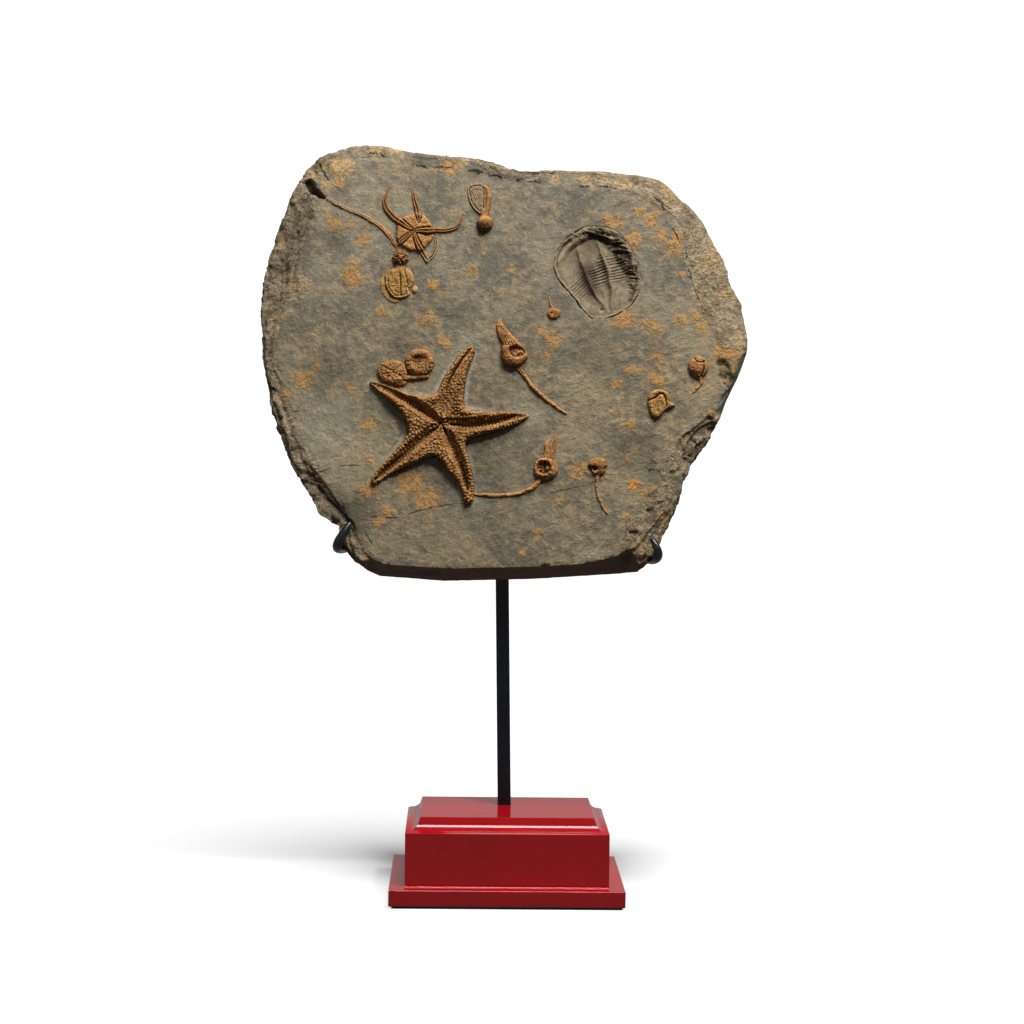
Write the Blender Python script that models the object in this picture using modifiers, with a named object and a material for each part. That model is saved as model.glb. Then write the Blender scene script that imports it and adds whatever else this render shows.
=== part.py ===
"""Fossil starfish plate on a display stand: a leaning slab of grey mudstone with a starfish, a brittle
star, a trilobite and several sea lilies in relief, held by two hooked rods on a square steel pole that
rises from a red moulded wooden base.

World frame: metres, +Z up, the slab's face towards -Y, origin on the floor under the middle of the part.
Slab frame: x runs right across the slab, y up its face, z out of its face. Sizes below are millimetres.
"""

import math
import random

import bmesh
import bpy
from mathutils import Matrix, Vector, geometry

MM = 0.001
GAP = 0.3  # clearance between pieces that touch

# Slab
LEAN = 9.0  # degrees that the slab leans back
SLAB_FOOT = (0.0, -17.0, 223.5)  # where the slab frame's origin sits in the world
SLAB_THICK = 24.0
SLAB_MIDDLE = (0.0, 140.0)
SLAB_RAYS = 120
SEED = 7
# Where the rim is chipped deeper: direction from the middle in degrees, half width of it, extra depth
CHIPS = [(219, 10, 4.0), (138, 4, 5.5), (161, 5, 3.0), (338, 6, 5.0), (315, 7, 2.5), (48, 12, 1.5), (250, 3, 2.0)]
# Hollows in the face: middle, half sizes, and how deep they reach
HOLLOWS = [((-131.5, 256.5), (6.5, 5.0), 5.0), ((90.5, 25.4), (5.2, 2.6), 3.4), ((-144.0, 185.0), (7.5, 5.5), 2.2)]

# Widest outline of the slab, clockwise from the top left corner
RIM = [
    (-138, 273), (-130, 281), (-110, 289), (-91, 291), (-71, 286), (-42, 283), (-22, 282), (-3, 277),
    (8, 273), (35, 274), (74, 274), (103, 270), (109, 268), (116, 259), (126, 251), (134, 242),
    (142, 225), (148, 218), (153, 201), (156, 192), (161, 184), (165, 163), (166, 151), (160, 134),
    (152, 118), (147, 104), (141, 93), (130, 76), (122, 65), (120, 51), (112, 31), (106, 18),
    (98, 5), (91, -1), (65, -3), (20, -6), (-40, -8), (-87, -5), (-96, 1), (-105, 8),
    (-110, 17), (-113, 27), (-119, 33), (-126, 40), (-137, 57), (-143, 67), (-151, 85), (-158, 105),
    (-161, 124), (-165, 140), (-165, 153), (-167, 170), (-166, 193), (-161, 214), (-153, 240), (-146, 258),
]  # fmt: skip

# Edge of the flat bedding surface, inside the broken rim, clockwise from the top left corner
FACE = [
    (-129, 268), (-120, 273), (-104, 279), (-91, 281), (-76, 278), (-62, 274), (-42, 272), (-22, 270),
    (-3, 265), (14, 263), (36, 265), (57, 263), (79, 262), (97, 259), (107, 250), (118, 240),
    (122, 228), (124, 212), (127, 197), (133, 182), (140, 170), (152, 160), (162, 150), (155, 133),
    (146, 117), (141, 104), (132, 98), (124, 89), (119, 77), (117, 66), (112, 45), (101, 31),
    (90, 18), (75, 8), (52, 3), (20, 1), (-38, -1), (-86, 2), (-95, 12), (-102, 29),
    (-111, 42), (-122, 58), (-134, 74), (-145, 92), (-151, 112), (-152, 127), (-157, 140), (-156, 157),
    (-153, 175), (-139, 186), (-141, 207), (-136, 226), (-126, 241), (-124, 250), (-136, 262),
]  # fmt: skip

# Stand
BASE_X = 4.0  # the slab's outline isn't centred over the base
PAD = (153.0, 116.0, 1.2)
PLINTH = (157.0, 120.0, 11.1)
BLOCK = (136.0, 99.0, 35.6)
# The moulding from the block's edge up to the top face: how far each part goes in, and how far up
LEDGE = (3.0, 1.2)
COVE = (5.6, 4.6)
COVE_STEPS = 5
FILLET = (1.4, 3.6)
POLE_X = 2.7  # where the pole stands in the base
POLE_TILT = 1.15  # degrees that it leans to the left
POLE_WIDTH = 9.0
POLE_FRONT_Y = 7.4
POLE_SOCKET = 26.0
POLE_TOP = 152.0  # how far up the slab's back the pole reaches, in the slab frame
ROD_RADIUS = 3.4
TIP_RADIUS = 1.7
ARM_POINTS = 34

# Colours as linear RGB
STONE = (0.19, 0.175, 0.14)
FOSSIL = (0.30, 0.155, 0.065)
LACQUER = (0.38, 0.012, 0.016)
BLACK_PAINT = (0.012, 0.013, 0.016)
FELT = (0.01, 0.01, 0.01)


def material(name, colour, roughness, metallic=0.0):
    made = bpy.data.materials.new(name)
    made.use_nodes = True
    shader = made.node_tree.nodes["Principled BSDF"]
    shader.inputs["Base Color"].default_value = (*colour, 1.0)
    shader.inputs["Roughness"].default_value = roughness
    shader.inputs["Metallic"].default_value = metallic
    return made


def place(mesh_or_curve, name, finish, frame=None):
    """Links a new object holding this mesh or curve to the part's collection."""
    made = bpy.data.objects.new(name, mesh_or_curve)
    made.data.materials.append(finish)
    PART.objects.link(made)
    made.parent = frame
    return made


def place_bmesh(bm, name, finish, frame=None):
    bmesh.ops.recalc_face_normals(bm, faces=bm.faces)
    mesh = bpy.data.meshes.new(name)
    bm.to_mesh(mesh)
    bm.free()
    mesh.transform(SCALE)
    return place(mesh, name, finish, frame)


def loft(loops, name, finish, frame=None):
    """A closed solid through equal loops of points, its first and last loops filled flat."""
    bm = bmesh.new()
    rings = [[bm.verts.new(point) for point in loop] for loop in loops]
    for ring, following in zip(rings, rings[1:]):
        for i in range(len(ring)):
            j = (i + 1) % len(ring)
            bm.faces.new((ring[i], ring[j], following[j], following[i]))
    bm.faces.new(rings[0])
    bm.faces.new(rings[-1])
    return place_bmesh(bm, name, finish, frame)


def tube(points, radii, name, finish, frame=None, sides=1):
    """A round rod through these points with a radius at each, as a mesh whose caps are welded."""
    curve = bpy.data.curves.new(name, "CURVE")
    curve.dimensions = "3D"
    curve.bevel_depth = MM
    curve.bevel_resolution = sides
    curve.use_fill_caps = True
    spline = curve.splines.new("POLY")
    spline.points.add(len(points) - 1)
    for held, point, radius in zip(spline.points, points, radii):
        held.co = (*(Vector(point) * MM), 1.0)
        held.radius = radius
    drawn = bpy.data.objects.new(name, curve)
    bpy.context.scene.collection.objects.link(drawn)
    graph = bpy.context.evaluated_depsgraph_get()
    mesh = bpy.data.meshes.new_from_object(drawn.evaluated_get(graph))
    bpy.data.objects.remove(drawn)
    bm = bmesh.new()
    bm.from_mesh(mesh)
    bmesh.ops.remove_doubles(bm, verts=bm.verts, dist=0.01 * MM)
    bm.to_mesh(mesh)
    bm.free()
    mesh.materials.clear()
    return place(mesh, name, finish, frame)


def smooth_path(knots, count):
    """Points at even steps of a smooth curve through the knots."""
    ends = [2 * Vector(knots[0]) - Vector(knots[1]), 2 * Vector(knots[-1]) - Vector(knots[-2])]
    held = [ends[0], *map(Vector, knots), ends[1]]
    path = []
    spans = len(knots) - 1
    for step in range(count):
        along = step * spans / (count - 1)
        span = min(int(along), spans - 1)
        t = along - span
        before, start, stop, after = held[span : span + 4]
        path.append(
            0.5
            * (
                2 * start
                + (stop - before) * t
                + (2 * before - 5 * start + 4 * stop - after) * t**2
                + (3 * start - before - 3 * stop + after) * t**3
            )
        )
    return path


def combine(whole, pieces, operation="UNION"):
    """Joins the pieces to the whole, or cuts them from it, and removes them."""
    bpy.context.view_layer.update()
    for piece in pieces:
        step = whole.modifiers.new("combine", "BOOLEAN")
        step.operation = operation
        step.object = piece
    bpy.context.view_layer.update()
    graph = bpy.context.evaluated_depsgraph_get()
    mesh = bpy.data.meshes.new_from_object(whole.evaluated_get(graph))
    whole.modifiers.clear()
    whole.data = mesh
    for piece in pieces:
        bpy.data.objects.remove(piece)
    return whole


def dome(centre, half, height, name, frame, turn=0.0, segments=12):
    """A low rounded mound on the slab's face, cut flat underneath."""
    bm = bmesh.new()
    bmesh.ops.create_uvsphere(bm, u_segments=segments, v_segments=8, radius=1.0)
    bmesh.ops.bisect_plane(
        bm, geom=bm.verts[:] + bm.edges[:] + bm.faces[:], plane_co=(0, 0, -0.25), plane_no=(0, 0, -1),
        clear_outer=True,
    )  # fmt: skip
    bmesh.ops.holes_fill(bm, edges=[edge for edge in bm.edges if edge.is_boundary])
    cos, sin = math.cos(math.radians(turn)), math.sin(math.radians(turn))
    for vert in bm.verts:
        x, y = vert.co.x * half[0], vert.co.y * half[1]
        up = GAP + (vert.co.z + 0.25) / 1.25 * height
        vert.co = (centre[0] + x * cos - y * sin, centre[1] + x * sin + y * cos, up)
    return place_bmesh(bm, name, fossil_finish, frame)


def pit(centre, radius, depth_from, name, frame):
    """A ball that hollows a mound from above, down to depth_from above the slab's face."""
    bm = bmesh.new()
    bmesh.ops.create_uvsphere(bm, u_segments=8, v_segments=6, radius=radius)
    bmesh.ops.translate(bm, verts=bm.verts, vec=(*centre, depth_from + radius))
    return place_bmesh(bm, name, fossil_finish, frame)


# The slab


def reach(outline, middle, direction):
    """How far an outline lies from a point inside it in one direction."""
    middle = Vector(middle)
    far = middle + 400 * Vector(direction)
    hits = []
    for start, stop in zip(outline, outline[1:] + outline[:1]):
        hit = geometry.intersect_line_line_2d(middle, far, Vector(start), Vector(stop))
        if hit is not None:
            hits.append((hit - middle).length)
    return max(hits)


def hollow(centre, half, deep, frame):
    """A cutter for a rounded hollow in the slab's face."""
    bm = bmesh.new()
    bmesh.ops.create_icosphere(bm, subdivisions=2, radius=1.0)
    for vert in bm.verts:
        x, y, z = vert.co
        vert.co = (centre[0] + x * half[0], centre[1] + y * half[1], z * deep)
    return place_bmesh(bm, "hollow", stone_finish, frame)


def stone_slab(frame):
    """The mudstone slab: a flat bedding face, a broken ledged rim, sloping edges and a rougher back."""
    noise = random.Random(SEED)
    angles = [2 * math.pi * i / SLAB_RAYS for i in range(SLAB_RAYS)]
    rays = [(math.cos(angle), math.sin(angle)) for angle in angles]
    face = [reach(FACE, SLAB_MIDDLE, ray) for ray in rays]
    rim = [max(reach(RIM, SLAB_MIDDLE, ray), inner + 1.2) for ray, inner in zip(rays, face)]

    def loop(share, depth_at, rough=0.0, scale=1.0):
        """One loop between the face's edge, at share 0, and the rim, at share 1."""
        points = []
        for angle, inner, outer in zip(angles, face, rim):
            radius = (inner + (outer - inner) * share) * scale + noise.uniform(-rough, rough)
            x = SLAB_MIDDLE[0] + radius * math.cos(angle)
            y = SLAB_MIDDLE[1] + radius * math.sin(angle)
            points.append((x, y, depth_at(angle, outer - inner)))
        return points

    def rim_depth(angle, width):
        """The rim is deepest along the bottom, where the sawn edge slopes in towards the face."""
        under = max(0.0, -math.sin(angle)) ** 6
        return -(12.0 + 8.5 * under)

    def ledge_depth(angle, width):
        """A broken ledge steps down where the rim is wide, and stays shallow where it is narrow."""
        deep = min(1.6 + 0.16 * width, 5.0)
        for middle, half, extra in CHIPS:
            deep += extra * max(0.0, 1.0 - (abs(math.degrees(angle) - middle) / half) ** 4)
        return -deep + noise.uniform(-0.6, 0.6)

    loops = [
        loop(0.0, lambda angle, width: 0.0, scale=0.985),
        loop(0.0, lambda angle, width: -0.3),
        loop(0.22, ledge_depth, rough=0.5),
        loop(0.72, lambda angle, width: ledge_depth(angle, width) - 1.8, rough=0.8),
        loop(1.0, lambda angle, width: rim_depth(angle, width) + 4.5 + noise.uniform(-1.0, 1.0)),
        loop(1.0, rim_depth),
        loop(1.0, lambda angle, width: -SLAB_THICK + 2.0, rough=0.6, scale=0.982),
        loop(0.6, lambda angle, width: -SLAB_THICK, scale=0.955),
    ]
    slab = loft(loops, "stone_slab", stone_finish, frame)
    cutters = [hollow(*place, frame) for place in HOLLOWS]
    pocket = []
    for left, right in trilobite_edges():
        pocket.insert(0, left)
        pocket.append(right)
    middle = sum(pocket, Vector((0, 0))) / len(pocket)
    wider = [middle + (point - middle) * 1.02 for point in pocket]
    cutters.append(loft([[(*point, up) for point in wider] for up in (10.0, -POCKET_DEPTH)], "pocket", stone_finish, frame))
    return combine(slab, cutters, "DIFFERENCE")


# The fossils


STAR_MIDDLE = (-43.4, 97.0)
# Each arm: its tip, then the notch that follows it going anticlockwise
STAR_ARMS = [
    ((16.3, 103.2), (-26.9, 108.6)),
    ((-21.8, 150.6), (-47.7, 117.2)),
    ((-91.3, 124.9), (-66.0, 94.4)),
    ((-89.8, 56.0), (-47.4, 74.6)),
    ((-23.6, 43.2), (-25.6, 84.7)),
]
STAR_TALL = 6.2
# Stations from an arm's middle groove to the notch: share of the angle, share of the reach, height
STAR_SECTION = [
    (0.0, 1.0, 0.42),
    (0.05, 0.93, 0.86),
    (0.12, 0.76, 1.0),
    (0.25, 0.52, 0.86),
    (0.45, 0.30, 0.78),
    (0.70, 0.12, 0.84),
]
STAR_RINGS = [(0.10, 0.72), (0.26, 1.0), (0.45, 1.0), (0.64, 0.92), (0.82, 0.80), (0.94, 0.62), (1.0, 0.30)]


def starfish(frame):
    """Five tapering arms with a deep groove along each, and ridges of small plates beside it."""
    middle = Vector(STAR_MIDDLE)
    noise = random.Random(SEED + 1)

    def half_arm(tip, notch):
        """Outline stations from the tip towards the notch, without the notch."""
        out, side = Vector(tip) - middle, Vector(notch) - middle
        turn = out.angle_signed(side)
        stations = []
        for angle_share, reach_share, height in STAR_SECTION:
            length = side.length + (out.length - side.length) * reach_share
            direction = out.normalized().copy()
            direction.rotate(Matrix.Rotation(-turn * angle_share, 2))
            stations.append((direction * length, height))
        return stations

    outline = []
    for number, (tip, notch) in enumerate(STAR_ARMS):
        before = STAR_ARMS[number - 1][1]
        outline += half_arm(tip, before)[:0:-1]
        outline += half_arm(tip, notch)
        outline.append((Vector(notch) - middle, 0.80))
    loops = []
    for ring, (share, tall) in enumerate(STAR_RINGS):
        points = []
        for offset, height in outline:
            up = GAP + STAR_TALL * tall * height
            if 0 < ring < len(STAR_RINGS) - 1:
                up += noise.uniform(-0.25, 0.25)
            points.append((*(middle + offset * share), up))
        loops.append(points)
    loops.append([(*(middle + offset), GAP) for offset, height in outline])
    return loft(loops, "starfish", fossil_finish, frame)


BRITTLE_MIDDLE = (-62.6, 228.2)
BRITTLE_ARMS = [
    [(-63.6, 228.2), (-70, 232.4), (-76.5, 237.6), (-82.4, 243.2), (-84.6, 248.6), (-83.1, 254.8), (-79.2, 261.6)],
    [(-62.4, 229.0), (-60.6, 236), (-60.2, 241.5), (-61.6, 248), (-63.8, 256), (-65.6, 265.0)],
    [(-63.6, 228.4), (-57.5, 228.9), (-48.4, 229.0), (-40.5, 230.3), (-34.2, 233.4), (-30.6, 238.4), (-29.3, 242.2)],
    [(-63.0, 227.4), (-60.4, 221.2), (-57.6, 214.6), (-54.0, 208.2), (-51.0, 210.4), (-48.6, 216.5), (-48.2, 223.5)],
    [(-63.8, 227.8), (-67.4, 225.0), (-70.4, 222.0), (-71.8, 220.4)],
]  # fmt: skip


def brittle_star(frame):
    """A round disc with five thin arms that cross it and curl away."""
    disc = dome(BRITTLE_MIDDLE, (13.0, 12.7), 2.4, "brittle_star", frame, segments=20)
    arms = []
    for knots in BRITTLE_ARMS:
        path = smooth_path([(*knot, 0.0) for knot in knots], 2 * len(knots) - 1)
        last = len(path) - 1
        radii = [1.75 - 1.05 * (i / last) ** 1.3 for i in range(len(path))]
        for point, radius, i in zip(path, radii, range(len(path))):
            point.z = GAP + radius + 1.1 * (1 - i / last)
        arms.append(tube(path, radii, "arm", fossil_finish, frame))
    return combine(disc, arms)


TRILOBITE_HEAD, TRILOBITE_TAIL = (50.0, 232.6), (71.0, 171.4)
TRILOBITE_EDGE = [
    (38, 222.5), (49, 231), (56, 234), (63, 234), (74, 231), (82, 224), (88, 211), (91, 199),
    (89, 186), (82, 178), (71, 172), (59, 171.5), (53, 176), (47, 185), (40, 192), (34.5, 200), (32.5, 209),
]  # fmt: skip
POCKET_DEPTH = 4.8
TRILOBITE_COLUMNS = 18
# Shares of the length at which the head's and tail's rows lie; the ribs fill the span between them
TRILOBITE_HEAD_ROWS = [0.02, 0.06, 0.12, 0.22, 0.33]
TRILOBITE_TAIL_ROWS = [0.70, 0.80, 0.88, 0.94, 0.98]
TRILOBITE_RIBS = 8
TRILOBITE_RIB_SPAN = (0.38, 0.66)


def trilobite_rows():
    """Where each row across the trilobite lies along it, and whether it is on a rib."""
    first, last = TRILOBITE_RIB_SPAN
    rows = [(share, 0) for share in TRILOBITE_HEAD_ROWS]
    rows += [(first + (last - first) * row / (2 * TRILOBITE_RIBS), row % 2) for row in range(2 * TRILOBITE_RIBS + 1)]
    return rows + [(share, 0) for share in TRILOBITE_TAIL_ROWS]


def trilobite_edges():
    """The left and right ends of each row."""
    head, tail = Vector(TRILOBITE_HEAD), Vector(TRILOBITE_TAIL)
    across = Vector((head.y - tail.y, tail.x - head.x)).normalized()
    edges = []
    for share, rib in trilobite_rows():
        spot = head + (tail - head) * share
        edges.append([spot + across * side * reach(TRILOBITE_EDGE, spot, across * side) for side in (-1, 1)])
    return edges


def trilobite(frame):
    """A broad flat trilobite sunk in a pocket: a raised rim round a dish with a ribbed middle in three lobes."""
    low_side = Vector((0.72, 0.69))  # the dish is deepest towards the upper right
    middle = (Vector(TRILOBITE_HEAD) + Vector(TRILOBITE_TAIL)) / 2
    loops = []
    for (share, rib), (left, right) in zip(trilobite_rows(), trilobite_edges()):
        top = []
        for column in range(TRILOBITE_COLUMNS + 1):
            side = -math.cos(math.pi * column / TRILOBITE_COLUMNS) * 0.35 + (-1 + 2 * column / TRILOBITE_COLUMNS) * 0.65
            spot = left.lerp(right, (side + 1) / 2)
            slope = (spot - middle).dot(low_side) / 30
            rim = max(abs(side) ** 8, abs(2 * share - 1) ** 8)
            lobe = 1.3 * math.exp(-((side / 0.30) ** 2)) - 0.8 * math.exp(-(((abs(side) - 0.38) / 0.09) ** 2))
            dish = -1.4 - 1.5 * slope + lobe + 0.45 * rib
            up = dish * (1 - rim) + (1.2 - 1.2 * slope) * rim
            top.append((*spot, up))
        floor = -POCKET_DEPTH + GAP
        loops.append([*top, (*right, floor), (*left, floor)])
    return loft(loops, "trilobite", trilobite_finish, frame)


def sea_lily(name, frame, cup, half, tall, turn=0.0, hollow=None, stem=(), stem_radius=1.0, arms=(), arm_radius=1.1):
    """A stalked animal: a rounded cup, often caved in, with a stem and a bunch of feeding arms."""
    body = dome(cup, half, tall, name, frame, turn, segments=14)
    pieces = []
    if stem:
        path = smooth_path([(*knot, 0.0) for knot in stem], 2 * len(stem) + 1)
        last = len(path) - 1
        radii = [stem_radius * (1 - 0.35 * i / last) for i in range(len(path))]
        for point, radius in zip(path, radii):
            point.z = GAP + radius
        pieces.append(tube(path, radii, "stem", fossil_finish, frame))
    for knots in arms:
        path = smooth_path([(*knot, 0.0) for knot in knots], 2 * len(knots))
        last = len(path) - 1
        radii = [arm_radius * (1 - 0.55 * i / last) for i in range(len(path))]
        for point, radius in zip(path, radii):
            point.z = GAP + radius + 0.2
        pieces.append(tube(path, radii, "arm", fossil_finish, frame))
    combine(body, pieces)
    if hollow:
        centre, radius, depth_from = hollow
        combine(body, [pit(centre, radius, depth_from, "pit", frame)], "DIFFERENCE")
    return body


def sea_lilies(frame):
    """All the stalked animals on the slab."""
    sea_lily(
        "sea_lily_long_stem", frame, cup=(-71.9, 210.4), half=(5.6, 4.9), tall=4.4,
        stem=[(-72.5, 213), (-75.0, 217.6), (-79.4, 224.8), (-85, 232), (-94, 237.8), (-106, 241.2), (-123, 250.2)],
        stem_radius=1.9, arms=[[(-71.4, 208), (-69.4, 203.4), (-69.8, 199.0)]], arm_radius=3.2,
    )  # fmt: skip
    sea_lily(
        "sea_lily_calyx", frame, cup=(-73.0, 190.2), half=(9.2, 8.2), tall=2.6, turn=20,
        arms=[[(-67.2, 187.6), (-63.6, 189.6), (-60.8, 189.2)]], arm_radius=2.0,
    )  # fmt: skip
    sea_lily(
        "sea_lily_top", frame, cup=(-14.9, 234.0), half=(4.9, 5.6), tall=5.6,
        arms=[
            [(-15.4, 236), (-18.6, 244.4), (-23.0, 252), (-24.4, 257.6)],
            [(-15, 236), (-16.8, 246), (-18.6, 254), (-19.4, 261.0)],
            [(-14.4, 236), (-13.6, 246), (-13.6, 254), (-14.6, 261.4)],
        ],
        arm_radius=1.9,
    )  # fmt: skip
    sea_lily(
        "sea_lily_center", frame, cup=(6.6, 145.4), half=(8.6, 7.6), tall=5.2, turn=-35,
        hollow=((9.6, 146.2), 4.4, 2.2),
        stem=[(8.4, 139.6), (14.7, 130.2), (22.8, 122.4), (31.4, 114.6), (41.8, 105.2)], stem_radius=1.35,
        arms=[
            [(1.4, 146.5), (-3.4, 155.6), (-5.8, 163.6), (-5.8, 168.0)],
            [(5.0, 149.5), (-0.4, 158.4), (-4.0, 166.4)],
            [(10.0, 150.4), (4.6, 158.6), (-1.0, 165.4)],
        ],
        arm_radius=2.4,
    )  # fmt: skip
    sea_lily(
        "sea_lily_bud", frame, cup=(32.4, 172.6), half=(3.9, 3.4), tall=1.9,
        stem=[(31.8, 174.5), (29.8, 180.0), (29.0, 185.2)], stem_radius=0.8,
    )  # fmt: skip
    sea_lily(
        "sea_lily_curved_stem", frame, cup=(28.6, 67.9), half=(7.4, 7.0), tall=4.4,
        hollow=((27.2, 67.8), 3.9, 1.6),
        stem=[(26.4, 63.4), (21.6, 59.0), (14.5, 54.8), (5.6, 50.9), (-5.1, 48.4), (-14.0, 48.5), (-18.4, 49.2)],
        stem_radius=1.45,
        arms=[
            [(29.4, 73.0), (29.0, 80.2), (32.3, 86.3), (35.8, 92.6)],
            [(32.0, 72.6), (32.6, 79.4), (33.4, 85.0)],
        ],
        arm_radius=2.3,
    )  # fmt: skip
    sea_lily(
        "sea_lily_small_stem", frame, cup=(63.2, 69.2), half=(6.2, 5.2), tall=3.6,
        hollow=((60.4, 68.8), 2.5, 1.5),
        stem=[(63.3, 65.4), (62.9, 56.4), (63.5, 48.7), (65.5, 42.7), (69.2, 36.8)], stem_radius=1.15,
    )  # fmt: skip
    sea_lily(
        "sea_lily_heart", frame, cup=(102.6, 112.4), half=(8.0, 9.6), tall=3.2, turn=12,
        arms=[[(108.0, 110.0), (112.0, 110.8), (115.6, 111.6)]], arm_radius=1.6,
    )  # fmt: skip
    sea_lily(
        "sea_lily_right", frame, cup=(131.2, 137.4), half=(7.0, 7.4), tall=4.4,
        hollow=((133.6, 139.4), 3.0, 2.2),
        stem=[(132.6, 131.4), (133.6, 127.2), (129.6, 122.2), (125.2, 118.2)], stem_radius=1.0,
    )  # fmt: skip
    sea_lily("round_disc_right", frame, cup=(-58.0, 139.4), half=(9.7, 9.3), tall=2.8)
    sea_lily(
        "round_disc_left", frame, cup=(-76.6, 132.8), half=(9.7, 8.5), tall=3.0,
        stem=[(-69.0, 127.4), (-61.3, 127.9), (-52.9, 128.7)], stem_radius=1.3,
    )  # fmt: skip


# The stand


def box(size, centre, name, finish, frame=None):
    bm = bmesh.new()
    bmesh.ops.create_cube(bm, size=1.0)
    for vert in bm.verts:
        vert.co = [c + side * s for c, side, s in zip(centre, vert.co, size)]
    return place_bmesh(bm, name, finish, frame)


def wooden_base():
    """A felt pad, a flat plinth, and a moulded block with a cove round its top and a socket for the pole."""
    box(PAD, (BASE_X, 0, PAD[2] / 2), "felt_pad", felt_finish)
    plinth_bottom = PAD[2] + GAP
    box(PLINTH, (BASE_X, 0, plinth_bottom + PLINTH[2] / 2), "base_plinth", lacquer_finish)
    block_bottom = plinth_bottom + PLINTH[2] + GAP
    block = bmesh.new()
    bmesh.ops.create_cube(block, size=1.0)
    for vert in block.verts:
        vert.co = (BASE_X + vert.co.x * BLOCK[0], vert.co.y * BLOCK[1], block_bottom + (vert.co.z + 0.5) * BLOCK[2])
    block.faces.ensure_lookup_table()
    top = max(block.faces, key=lambda face: face.calc_center_median().z)
    steps = [LEDGE]
    for step in range(COVE_STEPS):
        a, b = (math.radians(90 * k / COVE_STEPS) for k in (step, step + 1))
        steps.append((COVE[0] * (math.sin(b) - math.sin(a)), COVE[1] * (math.cos(a) - math.cos(b))))
    for inwards, upwards in [*steps, FILLET]:
        bmesh.ops.inset_region(block, faces=[top], thickness=inwards, use_even_offset=True)
        bmesh.ops.translate(block, verts=top.verts, vec=(0, 0, upwards))
    block_top = max(vert.co.z for vert in block.verts)
    made = place_bmesh(block, "base_block", lacquer_finish)
    hole = POLE_WIDTH + 2 * GAP
    socket = box((hole, hole, 2 * POLE_SOCKET), (0, POLE_FRONT_Y + POLE_WIDTH / 2, 0), "socket", lacquer_finish)
    socket.location = Vector((POLE_X, 0, block_top)) * MM
    socket.rotation_euler.y = math.radians(-POLE_TILT)
    combine(made, [socket], "DIFFERENCE")
    return block_top


def steel_pole(top_of_base):
    """One square bar: upright from its socket, then bent back to lie along the slab's back."""
    lean = math.radians(LEAN)
    up = Vector((math.sin(lean), math.cos(lean)))
    out = Vector((-math.cos(lean), math.sin(lean)))
    corner = Vector(SLAB_FOOT[1:]) - Vector((0, top_of_base))
    sides = []
    for depth, upright_y in ((0, POLE_FRONT_Y), (POLE_WIDTH, POLE_FRONT_Y + POLE_WIDTH)):
        start = corner - out * (SLAB_THICK + 0.4 + depth)
        bend = start + up * ((upright_y - start.x) / up.x)
        sides.append([(upright_y, GAP - POLE_SOCKET), tuple(bend), tuple(start + up * POLE_TOP)])
    loops = []
    for x in (-POLE_WIDTH / 2, POLE_WIDTH / 2):
        loops.append([(x, y, z) for y, z in sides[0] + sides[1][::-1]])
    made = loft(loops, "pole", paint_finish)
    made.location = Vector((POLE_X, 0, top_of_base)) * MM
    made.rotation_euler.y = math.radians(-POLE_TILT)
    rounded = made.modifiers.new("edges", "BEVEL")
    rounded.width = 0.5 * MM
    rounded.segments = 1


def hooked_arms(frame):
    """Two round rods, welded to the pole's sides, that splay down the slab's back and hook round its edge."""
    back = -(SLAB_THICK + 0.4 + ROD_RADIUS)
    middle = -2.6  # where the leaning pole crosses this height
    left = middle - POLE_WIDTH / 2 - ROD_RADIUS - GAP
    right = middle + POLE_WIDTH / 2 + ROD_RADIUS + GAP
    knots = {
        "hook_arm_left": [
            (left - 0.8, 130, back), (left - 1.2, 110, back), (left - 9, 90, back), (-48, 60, back), (-86, 28, back),
            (-104, 13.8, back + 1), (-110.2, 10.4, -20.5), (-111.2, 9.8, -11), (-112.4, 10.2, 0.6),
            (-111.0, 13.6, 5.6), (-107.0, 20.4, 6.2), (-102.8, 28.2, 3.8),
        ],
        "hook_arm_right": [
            (right + 0.2, 130, back), (right + 1.2, 110, back), (right + 9, 90, back), (46, 56, back), (82, 22, back),
            (96.5, 8.2, back + 1), (101.6, 4.9, -20.5), (102.4, 4.0, -11), (104.2, 5.0, 0.6),
            (104.6, 8.6, 5.4), (102.6, 13.8, 5.8), (99.6, 19.2, 3.6),
        ],
    }  # fmt: skip
    for name, route in knots.items():
        path = smooth_path(route, ARM_POINTS)
        taper_from = 0.86 * (ARM_POINTS - 1)
        radii = []
        for i in range(ARM_POINTS):
            share = max(0.0, (i - taper_from) / (ARM_POINTS - 1 - taper_from))
            radii.append(ROD_RADIUS + (TIP_RADIUS - ROD_RADIUS) * share)
        tube(path, radii, name, paint_finish, frame, sides=1)


for thing in list(bpy.data.objects):
    bpy.data.objects.remove(thing)

SCALE = Matrix.Scale(MM, 4)
PART = bpy.data.collections.new("fossil_starfish_plate")
bpy.context.scene.collection.children.link(PART)
stone_finish = material("grey_mudstone", STONE, 0.85)
trilobite_finish = material("trilobite_stone", STONE, 0.75)
fossil_finish = material("rusty_fossil", FOSSIL, 0.8)
lacquer_finish = material("red_lacquer", LACQUER, 0.15)
paint_finish = material("black_paint", BLACK_PAINT, 0.4)
felt_finish = material("black_felt", FELT, 0.95)

slab_frame = bpy.data.objects.new("slab_frame", None)
PART.objects.link(slab_frame)
slab_frame.location = Vector(SLAB_FOOT) * MM
slab_frame.rotation_euler.x = math.radians(90 - LEAN)

stone_slab(slab_frame)
starfish(slab_frame)
brittle_star(slab_frame)
trilobite(slab_frame)
sea_lilies(slab_frame)
base_top = wooden_base()
steel_pole(base_top)
hooked_arms(slab_frame)
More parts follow.
